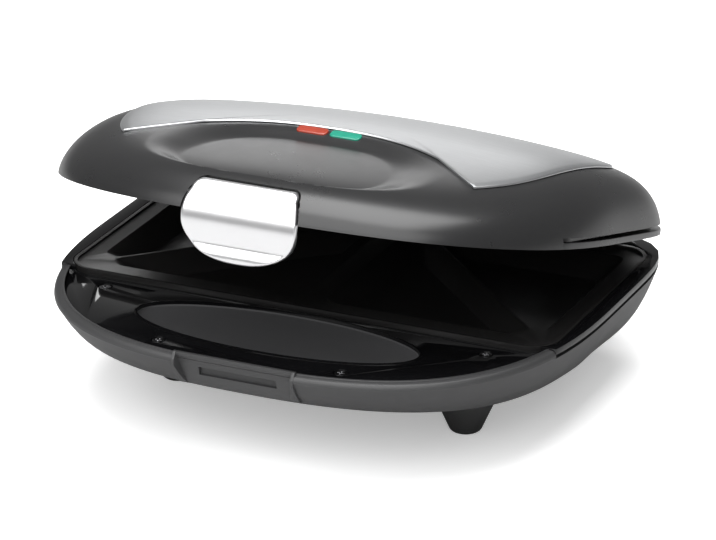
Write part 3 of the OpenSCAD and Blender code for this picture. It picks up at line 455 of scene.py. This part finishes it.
# %% Lens and inner finishes
def tinted(name, dark, light):
    made, tree, shader = start_finish(name)
    wiped = placed_group(tree, handling, Mean=0.2, Spread=0.03)
    tree.links.new(tone_mix(tree, wiped.outputs["Tone"], dark, light), shader.inputs["Base Color"])
    tree.links.new(wiped.outputs["Roughness"], shader.inputs["Roughness"])
    shader.inputs["Subsurface Weight"].default_value = 0.3
    shader.inputs["Subsurface Radius"].default_value = (0.002, 0.002, 0.002)
    shader.inputs["Subsurface Scale"].default_value = 1.0
    return made


red_finish = tinted("red_lens", (0.26, 0.035, 0.02), (0.33, 0.05, 0.028))
green_finish = tinted("green_lens", (0.012, 0.2, 0.13), (0.02, 0.26, 0.18))
element_finish = metal("scaled_element", (0.1, 0.085, 0.07), (0.2, 0.16, 0.13), 0.5, 0.08)
shield_finish = metal("aluminised_shield", (0.55, 0.56, 0.58), (0.68, 0.69, 0.7), 0.3, 0.05, streak=0.1)
ceramic_finish = plastic("ceramic", (0.62, 0.6, 0.54), (0.72, 0.7, 0.64), 0.5, 0.05)
brass_finish = metal("brass_case", (0.55, 0.42, 0.18), (0.7, 0.55, 0.26), 0.3, 0.06)
wire_finish = plastic("wire_cover", (0.42, 0.07, 0.045), (0.5, 0.1, 0.065), 0.45, 0.05)
lamp_finish = plastic("lamp_glass", (0.75, 0.55, 0.4), (0.85, 0.66, 0.5), 0.1, 0.02)
black_finish = plastic("black_moulding", (0.01, 0.01, 0.01), (0.016, 0.016, 0.016), 0.4, 0.05)
print("finishes:", len(bpy.data.materials))

# %% Finishes of the parts that stay as they are
STAYS = {
    "lower_heating_element": ("element", element_finish), "upper_heating_element": ("element", element_finish),
    "lower_heat_shield": ("shield", shield_finish), "upper_heat_shield": ("shield", shield_finish),
    "lower_shield_screws": ("screw", steel_finish), "upper_shield_screws": ("screw", steel_finish),
    "hinge_pin_left": ("pin", steel_finish), "hinge_pin_right": ("pin", steel_finish),
    "latch_pin": ("pin", steel_finish), "thermostat": ("thermostat", ceramic_finish),
    "thermal_fuse": ("fuse", brass_finish), "terminal_block": ("terminal", ceramic_finish),
    "base_wiring": ("wire", wire_finish), "lid_wiring": ("wire", wire_finish),
    "red_lamp": ("lamp", lamp_finish), "green_lamp": ("lamp", lamp_finish),
    "lamp_holder": ("lamp_holder", black_finish),
}
for node_name, (slot_name, finish) in STAYS.items():
    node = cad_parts[node_name]
    node.data.materials.clear()
    node.data.materials.append(finish)
print("kept parts:", len(STAYS))

# %% [markdown]
# ## The lid's casing
# On the real toaster this is one thin moulding with a soft dome, a straight wall at its rim and a
# hollow for the fingers. It is grown from its rim in rings, over the top to the middle and back up
# along the inside. Where the hollow's edge is crisp, the faces are divided again, and the new
# vertices are set on the same formula, so that the edge stays a clean line.


# %% Lid casing shell
RING_POINTS = 320


def lid_point(share, grow=0.0, drop=0.0):
    def at(angle):
        x, y = outline_point(angle, share, grow)
        return Vector((x, y, max(PART_GAP, lid_height(x, y, share) - drop)))
    return at


lid = bmesh.new()
rim = first_ring(lid, RING_POINTS, lid_point(1))
ring = rim
for i in range(1, 64):
    ring = next_ring(lid, ring, lid_point(1 - (i / 64) ** 2.2))
close_ring(lid, ring, (0, BROAD_Y, lid_height(0, BROAD_Y, 0)))
print("outer skin:", len(lid.faces), "faces")

# %% Finer faces along the hollow's edge
def near_grip_edge(face):
    x, y, z = face.calc_center_median()
    width = grip_width(x, y)
    return y < 8 and abs(grip_share(x, y) - 1 + width / 2) < width / 2 + 0.03


edge_faces = [f for f in lid.faces if near_grip_edge(f)]
bmesh.ops.subdivide_edges(lid, edges=list({e for f in edge_faces for e in f.edges}), cuts=2,
                          use_grid_fill=True)
for v in lid.verts:
    k = share_at(v.co.x, v.co.y)
    if k < 0.995:
        v.co.z = lid_height(v.co.x, v.co.y, k)
print("with the finer edge:", len(lid.faces), "faces")

# %% Inner skin of the lid
ring = next_ring(lid, rim, lid_point(1, -WALL, 100))
for k in (0.995, 0.985, 0.97, 0.95, 0.92, 0.88, 0.84, 0.78, 0.7, 0.6, 0.45, 0.3, 0.15):
    ring = next_ring(lid, ring, lid_point(k, -WALL, WALL))
close_ring(lid, ring, (0, BROAD_Y, lid_height(0, BROAD_Y, 0) - WALL))
bmesh.ops.recalc_face_normals(lid, faces=lid.faces)
print("lid casing:", len(lid.faces), "faces")


# %% [markdown]
# ### Window, side cut and knuckles
# The front wall has a window for the latch, with a round hollow behind it for the latch's top edge
# to swing in. The side walls stop short of the lid frame and leave the gap that lets the heat out.
# Two knuckles at the rear run on the hinge pins.

# %% Tools for the cuts
def box(low, high):
    bm = bmesh.new()
    bmesh.ops.create_cube(bm, size=1)
    size = [h - l for l, h in zip(low, high)]
    bmesh.ops.scale(bm, vec=size, verts=bm.verts)
    bmesh.ops.translate(bm, vec=[(l + h) / 2 for l, h in zip(low, high)], verts=bm.verts)
    return bm


def rod(x0, x1, y, z, radius, segments=48):
    """A cylinder along X."""
    bm = bmesh.new()
    bmesh.ops.create_cone(bm, cap_ends=True, radius1=radius, radius2=radius, depth=x1 - x0,
                          segments=segments, matrix=Matrix.Rotation(math.pi / 2, 4, "Y"))
    bmesh.ops.translate(bm, vec=((x0 + x1) / 2, y, z), verts=bm.verts)
    return bm


def upright(x, y, z0, z1, r0, r1=None, segments=64):
    """A cylinder or cone along Z."""
    bm = bmesh.new()
    bmesh.ops.create_cone(bm, cap_ends=True, radius1=r0, radius2=r0 if r1 is None else r1,
                          depth=z1 - z0, segments=segments)
    bmesh.ops.translate(bm, vec=(x, y, (z0 + z1) / 2), verts=bm.verts)
    return bm


def prism(points, along, low, high):
    """A flat outline pushed along X or Y. Its points are (y, z) for X and (x, z) for Y."""
    bm = bmesh.new()
    verts = [bm.verts.new((low, a, b) if along == "X" else (a, low, b)) for a, b in points]
    bm.faces.new(verts)
    made = bmesh.ops.extrude_face_region(bm, geom=bm.faces[:])["geom"]
    move = (high - low, 0, 0) if along == "X" else (0, high - low, 0)
    bmesh.ops.translate(bm, vec=move, verts=[g for g in made if isinstance(g, bmesh.types.BMVert)])
    bmesh.ops.recalc_face_normals(bm, faces=bm.faces)
    return bm


# %% Outline of the latch as seen from the front
LATCH_HALF, LATCH_TOP, LATCH_DROP = 26.0, 13.0, 20.2


def latch_half_width(z, grow=0.0):
    """Half the latch's width at a height: rounded corners above, a broad arc below.

    The window is the same outline, grown. Its sides draw in less, so that the latch can turn in it.
    """
    if z > 9.2:
        return LATCH_HALF - 6.3 + math.sqrt(max(0.0, (4 + grow) ** 2 - (z - 9.2) ** 2))
    if z > -1:
        return LATCH_HALF + grow - (0.0176 if grow else 0.0226) * (z + 1) ** 2
    if z > -3:
        return LATCH_HALF + grow
    s = min(1.0, (-3 - z) / (LATCH_DROP - 3 + grow))
    angle = math.asin(s ** (1 / 0.9))
    return (LATCH_HALF + grow) * math.cos(angle) ** 0.9


def latch_front(grow):
    top, low = 9.2 + 4 + grow, -LATCH_DROP - grow
    steps = [0.5 - 0.5 * math.cos(math.pi * i / 40) for i in range(41)]
    heights = [top + (low - top) * s for s in steps]
    right = [(latch_half_width(z, grow), z) for z in heights[:-1]]
    return right + [(0.0, low)] + [(-x, z) for x, z in reversed(right)]


print("latch outline:", len(latch_front(0)), "points")

# %% Cut and join the lid casing
KNUCKLE_R, HINGE_X, KNUCKLE_W, EAR_W = 6.49, 73.0, 19.2, 5.0
FRONT = -68.5
REAR = 138.0
PIVOT_Y, PIVOT_Z = FRONT + 7, 5.5

lid = combine(lid, box((-200, STEP_Y, -50), (200, 400, SIDE_CUT)), "DIFFERENCE")
lid = combine(lid, prism(latch_front(0.7), "Y", FRONT - 30, FRONT + 7.3 + 5.2), "DIFFERENCE")
swing_radius = math.hypot(0.3, LATCH_TOP - PIVOT_Z) + 0.7
for reach, radius in ((LATCH_HALF - 4.95, swing_radius), (LATCH_HALF - 3.8, swing_radius - 0.75)):
    lid = combine(lid, rod(-reach, reach, PIVOT_Y, PIVOT_Z, radius), "DIFFERENCE")
knuckle = [(HINGE_Y + KNUCKLE_R * math.cos(a), HINGE_Z + KNUCKLE_R * math.sin(a))
           for a in [math.radians(d) for d in range(-180, 91, 10)]]
knuckle += [(REAR - 7, 20), (REAR - 7, SIDE_CUT + 0.4), (REAR + 1, SIDE_CUT + 0.4)]
for side in (-1, 1):
    lid = combine(lid, prism(knuckle, "X", side * HINGE_X - KNUCKLE_W / 2,
                             side * HINGE_X + KNUCKLE_W / 2), "UNION")
    lid = combine(lid, rod(side * HINGE_X - 20, side * HINGE_X + 20, HINGE_Y, HINGE_Z, 2.05), "DIFFERENCE")
print("lid casing after the cuts:", len(lid.faces), "faces")

# %% [markdown]
# ### Windows for the two lenses
# Each lens sits in a rounded window that stands square to the surface, a little behind the grip's
# middle and just in front of the cover.

# %% Lens windows
LENS_W, LENS_D, LENS_X, LENS_Y, LENS_TILT = 14.2, 5.2, 7.8, 15.3, 27.0


def rounded_block(width, depth, low, high, radius, segments=6):
    """A block with rounded upright corners."""
    bm = box((-width / 2, -depth / 2, low), (width / 2, depth / 2, high))
    uprights = [e for e in bm.edges if abs(e.verts[0].co.z - e.verts[1].co.z) > 1e-6]
    round_edges(bm, uprights, radius, segments)
    return bm


def lens_place(side):
    height = lid_height(LENS_X, LENS_Y, share_at(LENS_X, LENS_Y))
    return (Matrix.Translation((side * LENS_X, LENS_Y, height))
            @ Matrix.Rotation(math.radians(LENS_TILT), 4, "X"))


for side in (-1, 1):
    window = rounded_block(LENS_W + 0.2, LENS_D + 0.2, -8, 8, 2.1)
    window.transform(lens_place(side))
    lid = combine(lid, window, "DIFFERENCE")
hand_over("lid_casing", lid, "lid", casing_finish, ["lid_shell"], degrees=24)

# %% Lenses
for side, label, finish in ((-1, "red_lens", red_finish), (1, "green_lens", green_finish)):
    lens = rounded_block(LENS_W, LENS_D, -3.2, 0.6, 2.0)
    crown_edges = [e for e in lens.edges if min(v.co.z for v in e.verts) > 0.5]
    round_edges(lens, crown_edges, 0.5, 3)
    lens.transform(lens_place(side))
    hand_over(label + "_cap", lens, "lid", finish, [label])

# %% [markdown]
# ## The cover plate
# A thin sheet of brushed metal that follows the dome. Its front edge is an arch that dips to a
# rounded point near each end, and its rim is bevelled, which shows as a bright line. It is grown
# from its middle out, in the same angles as the casing, with the reach found by halving.


# %% Cover plate
COVER_T, COVER_GAP, COVER_SHARE = 1.08, 0.35, 0.815


def cover_front(x):
    return 19.5 - 33.5 * (abs(x) / 78) ** 2.45


def cover_reach(angle):
    """Distance to the cover's edge: the nearer of its sides and its front, rounded between."""
    x, y = outline_point(angle, COVER_SHARE)
    side = math.hypot(x, y - BROAD_Y)
    low, high = 0.0, 2 * side
    for _ in range(24):
        half = (low + high) / 2
        if BROAD_Y + half * math.sin(angle) >= cover_front(half * math.cos(angle)):
            low = half
        else:
            high = half
    soft = max(0.0, 9 - abs(side - low))
    return min(side, low) - soft * soft / 36


def cover_point(share, inset, lift):
    def at(angle):
        reach = cover_reach(angle) * share - inset
        x, y = reach * math.cos(angle), BROAD_Y + reach * math.sin(angle)
        return Vector((x, y, lid_dome(x, y, share_at(x, y)) + lift))
    return at


cover = bmesh.new()
ring = outer = first_ring(cover, 480, cover_point(1, 0, COVER_GAP))
for inset, lift in ((0, COVER_T - 0.5), (0.08, COVER_T - 0.3), (0.25, COVER_T - 0.12), (0.55, COVER_T)):
    ring = next_ring(cover, ring, cover_point(1, inset, lift))
for i in range(1, 30):
    ring = next_ring(cover, ring, cover_point(1 - i / 30, 0.55 * (1 - i / 30), COVER_T))
close_ring(cover, ring, (0, BROAD_Y, lid_dome(0, BROAD_Y, 0) + COVER_T))
ring = outer
for i in range(1, 16):
    ring = next_ring(cover, ring, cover_point(1 - i / 16, 0, COVER_GAP))
close_ring(cover, ring, (0, BROAD_Y, lid_dome(0, BROAD_Y, 0) + COVER_GAP))
bmesh.ops.recalc_face_normals(cover, faces=cover.faces)
hand_over("metal_cover", cover, "lid", cover_finish, ["cover_plate"], degrees=50)

# %% [markdown]
# ## The latch
# A bright shield that carries on the curve of the lid's front. It is one grid, set on a side curve
# in height and on the front outline in width, with its border rolled back so that no raw edge
# shows. A second grid behind it closes the shape, and the hook and the two cheeks join its back.

# %% Latch curves
FACE_CURVE = [(6.5, 13), (5.1, 11.8), (3.6, 10.2), (2.3, 7.9), (1.0, 5), (0.3, 2), (0.05, -1), (0.3, -4),
              (1.1, -7), (2.3, -10), (3.2, -12.3), (3.4, -13.4), (3.15, -14.8), (2.8, -16.4), (2.75, -18),
              (3.1, -19.3), (3.6, -20.2)]
BACK_CURVE = [(9.4, 13), (8.3, 12), (7.4, 10.6), (5.2, 8.8), (3.7, 6.2), (2.7, 3), (2.4, 0), (2.7, -3),
              (3.9, -6.5), (5.2, -10), (6.1, -13), (6.3, -16), (5.8, -19.2), (5.6, -20.2)]


def along_curve(curve, z):
    """The curve's depth at a height: a smooth run through its points, with no corner at any."""
    z = min(curve[0][1], max(curve[-1][1], z))
    for i in range(len(curve) - 1):
        (y0, z0), (y1, z1) = curve[i], curve[i + 1]
        if z < z1:
            continue
        (ya, za), (yb, zb) = curve[max(0, i - 1)], curve[min(len(curve) - 1, i + 2)]
        t, run = (z0 - z) / (z0 - z1), z0 - z1
        m0, m1 = (y1 - ya) / (za - z1) * run, (yb - y0) / (z0 - zb) * run
        return ((2 * t ** 3 - 3 * t ** 2 + 1) * y0 + (t ** 3 - 2 * t ** 2 + t) * m0
                + (3 * t ** 2 - 2 * t ** 3) * y1 + (t ** 3 - t ** 2) * m1)
    return curve[-1][0]


print("latch depth at its middle:", round(along_curve(FACE_CURVE, -1.5), 2), "mm")

# %% Latch shield
ROLL = 1.0
LATCH_MID = (LATCH_TOP - LATCH_DROP) / 2
border = [Vector(p) for p in latch_front(0)]


def latch_reach(angle):
    """Distance from the shield's middle to its outline, found by halving."""
    low, high = 0.0, 60.0
    for _ in range(24):
        half = (low + high) / 2
        x, z = half * math.cos(angle), LATCH_MID + half * math.sin(angle)
        if -LATCH_DROP < z < LATCH_TOP and abs(x) < latch_half_width(z):
            low = half
        else:
            high = half
    return low


def border_distance(x, z):
    """How far a point of the front view lies inside the outline."""
    p = Vector((x, z))
    best = 1e9
    for a, b in zip(border, border[1:] + border[:1]):
        ab = b - a
        t = min(1.0, max(0.0, (p - a).dot(ab) / max(ab.length_squared, 1e-9)))
        best = min(best, (p - a - ab * t).length)
    return best


def shield_side(curve, rolled):
    """A square grid whose squares become ever larger copies of the outline."""
    bm = bmesh.new()
    bmesh.ops.create_grid(bm, x_segments=64, y_segments=64, size=1)
    for v in bm.verts:
        ring = max(abs(v.co.x), abs(v.co.y))
        angle = math.atan2(v.co.y * (LATCH_TOP + LATCH_DROP) / 2, v.co.x * LATCH_HALF)
        reach = latch_reach(angle) * (1 - (1 - ring) ** 1.5) if ring else 0.0
        x, z = reach * math.cos(angle), LATCH_MID + reach * math.sin(angle)
        y = along_curve(curve, z)
        if rolled:
            near = max(0.0, ROLL - border_distance(x, z))
            y += ROLL - math.sqrt(max(0.0, ROLL ** 2 - near ** 2))
            y = min(y, along_curve(BACK_CURVE, z) - 0.1)
        v.co = (x, FRONT + y, z)
    return bm


latch = shield_side(FACE_CURVE, True)
back = bpy.data.meshes.new("back")
rear = shield_side(BACK_CURVE, False)
rear.to_mesh(back)
rear.free()
latch.from_mesh(back)
bpy.data.meshes.remove(back)
bmesh.ops.bridge_loops(latch, edges=[e for e in latch.edges if e.is_boundary])
bmesh.ops.remove_doubles(latch, verts=latch.verts, dist=0.01)
bmesh.ops.recalc_face_normals(latch, faces=latch.faces)
print("latch shield:", len(latch.faces), "faces, open edges:", sum(e.is_boundary for e in latch.edges))

# %% Latch hook and cheeks
HOOK_TOP, HOOK_HALF, LEDGE_Y = -7.1, 15.0, FRONT + 6.1
hook = prism([(FRONT + 4, HOOK_TOP), (LEDGE_Y + 1.7, HOOK_TOP), (LEDGE_Y + 1.7, HOOK_TOP - 0.7),
              (FRONT + 5, HOOK_TOP - 1.8)], "X", -HOOK_HALF, HOOK_HALF)
cheek = [(PIVOT_Y + 3.5 * math.cos(a), PIVOT_Z + 3.5 * math.sin(a))
         for a in [math.radians(d) for d in range(-90, 91, 12)]]
cheek += [(FRONT + 5.2, 8), (FRONT + 2.9, 3), (FRONT + 2.7, 0.4)]
parts = [hook]
for side in (-1, 1):
    middle = side * (LATCH_HALF - 3.8)
    part = prism(cheek, "X", middle - 1.2, middle + 1.2)
    parts.append(combine(part, rod(-50, 50, PIVOT_Y, PIVOT_Z, 1.55, 32), "DIFFERENCE"))
for part in parts:
    made = bpy.data.meshes.new("part")
    part.to_mesh(made)
    part.free()
    latch.from_mesh(made)
    bpy.data.meshes.remove(made)
hand_over("bright_latch", latch, "latch", latch_finish, ["latch"], degrees=40)

# %% [markdown]
# ## The base's casing
# A bowl with a narrow rim: the wall bulges to its widest line 4 mm below the parting plane and then
# runs under in one soft sweep. The rings start on the rim's outer edge, go down under the casing to
# its middle, and come back along the inside.


# %% Base casing shell
def lip_point(u, grow=0.0, lift=0.0):
    """The short stretch of wall from the rim, u = 0, to the widest line, u = 1."""
    share = 0.975 + 0.025 * math.sqrt(1 - (1 - u) ** 2)

    def at(angle):
        x, y = outline_point(angle, share, grow)
        return Vector((x, y, -0.9 - 3.1 * u + lift))
    return at


def base_point(share, grow=0.0, lift=0.0):
    def at(angle):
        x, y = outline_point(angle, share, grow)
        return Vector((x, y, base_height(x, y, share) + lift))
    return at


base = bmesh.new()
ring = rim = first_ring(base, RING_POINTS, lip_point(0, -0.45, 0))
for grow, lift in ((-0.15, -0.06), (0, -0.3)):
    ring = next_ring(base, ring, lip_point(0.0, grow, lift))
for u in (0.2, 0.32, 0.45, 0.6, 0.8, 1.0):
    ring = next_ring(base, ring, lip_point(u))
for i in range(1, 56):
    ring = next_ring(base, ring, base_point(1 - (i / 56) ** 2.0))
close_ring(base, ring, (0, BROAD_Y, base_height(0, BROAD_Y, 0)))
ring = rim
for grow, lift in ((-0.85, 0), (-1.15, -0.06), (-1.3, -0.3)):
    ring = next_ring(base, ring, lip_point(0, grow, lift))
ring = next_ring(base, ring, lip_point(0.6, -WALL))
for k in (0.985, 0.97, 0.95, 0.92, 0.88, 0.8, 0.68, 0.5, 0.3):
    ring = next_ring(base, ring, base_point(k, -WALL, WALL))
close_ring(base, ring, (0, BROAD_Y, base_height(0, BROAD_Y, 0) + WALL))
bmesh.ops.recalc_face_normals(base, faces=base.faces)
print("base shell:", len(base.faces), "faces")

# %% [markdown]
# ### Cuts, ears, pads and the cord's boss
# The side walls stop below the frame's flange, as the lid's do above it. The front takes the catch
# panel. Four ears carry the hinge pins, four pads take the feet, and a boss in the rear wall holds
# the gland.

# %% Cut and join the base casing
CATCH_HALF, CATCH_H, CATCH_BACK = 28.0, 16.0, FRONT + 9.9
base = combine(base, box((-200, STEP_Y, -SIDE_CUT), (200, 400, 50)), "DIFFERENCE")
base = combine(base, box((-CATCH_HALF - 0.05, FRONT - 20, -CATCH_H - 0.05),
                         (CATCH_HALF + 0.05, CATCH_BACK + 0.05, 24)), "DIFFERENCE")
ear = [(HINGE_Y + KNUCKLE_R * math.cos(a), HINGE_Z + KNUCKLE_R * math.sin(a))
       for a in [math.radians(d) for d in range(180, -36, -10)]]
ear += [(REAR - 9, -26), (REAR - 9, -SIDE_CUT - 0.6), (REAR + 0.6, -SIDE_CUT - 0.6)]
for side in (-1, 1):
    for end in (-1, 1):
        middle = side * HINGE_X + end * (KNUCKLE_W / 2 + 0.3 + EAR_W / 2)
        base = combine(base, prism(ear, "X", middle - EAR_W / 2, middle + EAR_W / 2), "UNION")
    base = combine(base, rod(side * HINGE_X - 16, side * HINGE_X + 16, HINGE_Y, HINGE_Z, 2.0), "DIFFERENCE")
for y in (19, 100):
    floor = min(40.0, 20 + 0.178 * (y + 60))
    sole = min(40.0, 20 + 0.178 * (y + 13 + 60)) + 1.2
    for side in (-1, 1):
        base = combine(base, upright(side * 68.5, y, -sole, -floor + WALL - 0.2, 13), "UNION")
        base = combine(base, upright(side * 68.5, y, -sole - 1, -floor + WALL + 1, 3.05, segments=32),
                       "DIFFERENCE")
print("base casing:", len(base.faces), "faces")

# %% Gland boss
def rearward(x, z, y0, y1, radius, segments=64):
    """A cylinder along Y."""
    bm = bmesh.new()
    bmesh.ops.create_cone(bm, cap_ends=True, radius1=radius, radius2=radius, depth=y1 - y0,
                          segments=segments, matrix=Matrix.Rotation(math.pi / 2, 4, "X"))
    bmesh.ops.translate(bm, vec=(x, (y0 + y1) / 2, z), verts=bm.verts)
    return bm


base = combine(base, rearward(36, -24, REAR - 14, REAR + 2.5, 9.0), "UNION")
base = combine(base, rearward(36, -24, REAR - 30, REAR + 30, 6.0), "DIFFERENCE")
hand_over("base_casing", base, "base", base_finish, ["base_shell"])


# %% [markdown]
# ## Parts whose shape is already right
# Frames, plates, the catch panel, feet, screws and the gland keep their shape. A copy of each is
# merged, its flat faces are joined again, and its sharp edges are rounded by a fraction of a
# millimetre, because it is that thin bright line on an edge that makes a part look moulded.

# %% Copies with rounded edges
def rounded_copy(name, node_name, body, finish, size, segments=2, turn=28, degrees=40):
    bm = bmesh.new()
    bm.from_mesh(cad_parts[node_name].data)
    bmesh.ops.remove_doubles(bm, verts=bm.verts, dist=0.000002)
    bmesh.ops.dissolve_limit(bm, angle_limit=math.radians(0.5), verts=bm.verts, edges=bm.edges)
    if size:
        round_edges(bm, sharp_edges(bm, turn), size * 0.001, segments)
    return hand_over(name, bm, body, finish, [node_name], degrees, placed=True)


rounded_copy("front_panel", "base_frame", "base", gloss_finish, 0.3)
rounded_copy("lid_panel", "lid_frame", "lid", casing_finish, 0.3)
rounded_copy("lower_plate", "lower_cooking_plate", "base", cooking_finish, 0.45, 3)
rounded_copy("upper_plate", "upper_cooking_plate", "lid", cooking_finish, 0.45, 3)
rounded_copy("catch_moulding", "catch_panel", "base", base_finish, 0.25)
rounded_copy("panel_screws", "base_frame_screws", "base", screw_finish, 0.12)
rounded_copy("lid_screws", "lid_frame_screws", "lid", screw_finish, 0.12)
rounded_copy("cord_grommet", "cord_gland", "base", black_finish, 0.3)
for corner in ("front_left", "front_right", "rear_left", "rear_right"):
    rounded_copy("foot_" + corner + "_moulding", "foot_" + corner, "base", foot_finish, 0.2)

# %% [markdown]
# ## Table and light
# A plain pale table in an even, bright room. To keep the table's white out of the dark walls, rays
# that arrive by a reflection see it darker, and a little glow lightens the shadow that the camera
# sees. The soft light overhead gives the domes their broad sheen, the wide one in front lights the
# latch and the front walls, and the small patch far behind shows in the cover as a bright streak.

# %% Table
table = bmesh.new()
bmesh.ops.create_grid(table, x_segments=1, y_segments=1, size=1.2)
table_top = object_of("table_top", table)
table_finish, tree, shader = start_finish("pale_table")
shader.inputs["Roughness"].default_value = 0.9
shader.inputs["Specular IOR Level"].default_value = 0.0
shader.inputs["Emission Color"].default_value = (1, 1, 1, 1)
seen_by = tree.nodes.new("ShaderNodeLightPath")
tree.links.new(tone_mix(tree, seen_by.outputs["Is Glossy Ray"], (0.93, 0.93, 0.93), (0.47, 0.47, 0.47)),
               shader.inputs["Base Color"])
tree.links.new(math_node(tree, "MULTIPLY", seen_by.outputs["Is Camera Ray"], 0.36),
               shader.inputs["Emission Strength"])
table_top.data.materials.append(table_finish)


# %% Lights
def soft_light(name, place, aim, width, height, power):
    data = bpy.data.lights.new(name, "AREA")
    data.shape, data.size, data.size_y, data.energy = "RECTANGLE", width, height, power
    lamp = bpy.data.objects.new(name, data)
    lamp.location = place
    lamp.rotation_euler = (Vector(aim) - Vector(place)).to_track_quat("-Z", "Y").to_euler()
    bpy.context.scene.collection.objects.link(lamp)
    print(name, power, "W")
    return lamp


soft_light("overhead", (0.0, -0.02, 1.55), (0, 0, 0), 1.35, 1.35, 38)
soft_light("front_panel_light", (0.0, -1.25, 1.15), (0, 0, 0.05), 2.5, 1.3, 33)
soft_light("rear_patch", (-0.95, 2.3, 0.5), (0, 0, 0.1), 0.75, 0.42, 2.1)

world = bpy.data.worlds.new("studio")
world.use_nodes = True
tree = world.node_tree
backdrop = tree.nodes["Background"]
backdrop.inputs["Strength"].default_value = 1.0
tree.links.new(tone_mix(tree, tree.nodes.new("ShaderNodeLightPath").outputs["Is Camera Ray"],
                        (0.19, 0.19, 0.19), (1, 1, 1)), backdrop.inputs["Color"])
bpy.context.scene.world = world
bpy.context.scene.view_settings.view_transform = "Standard"
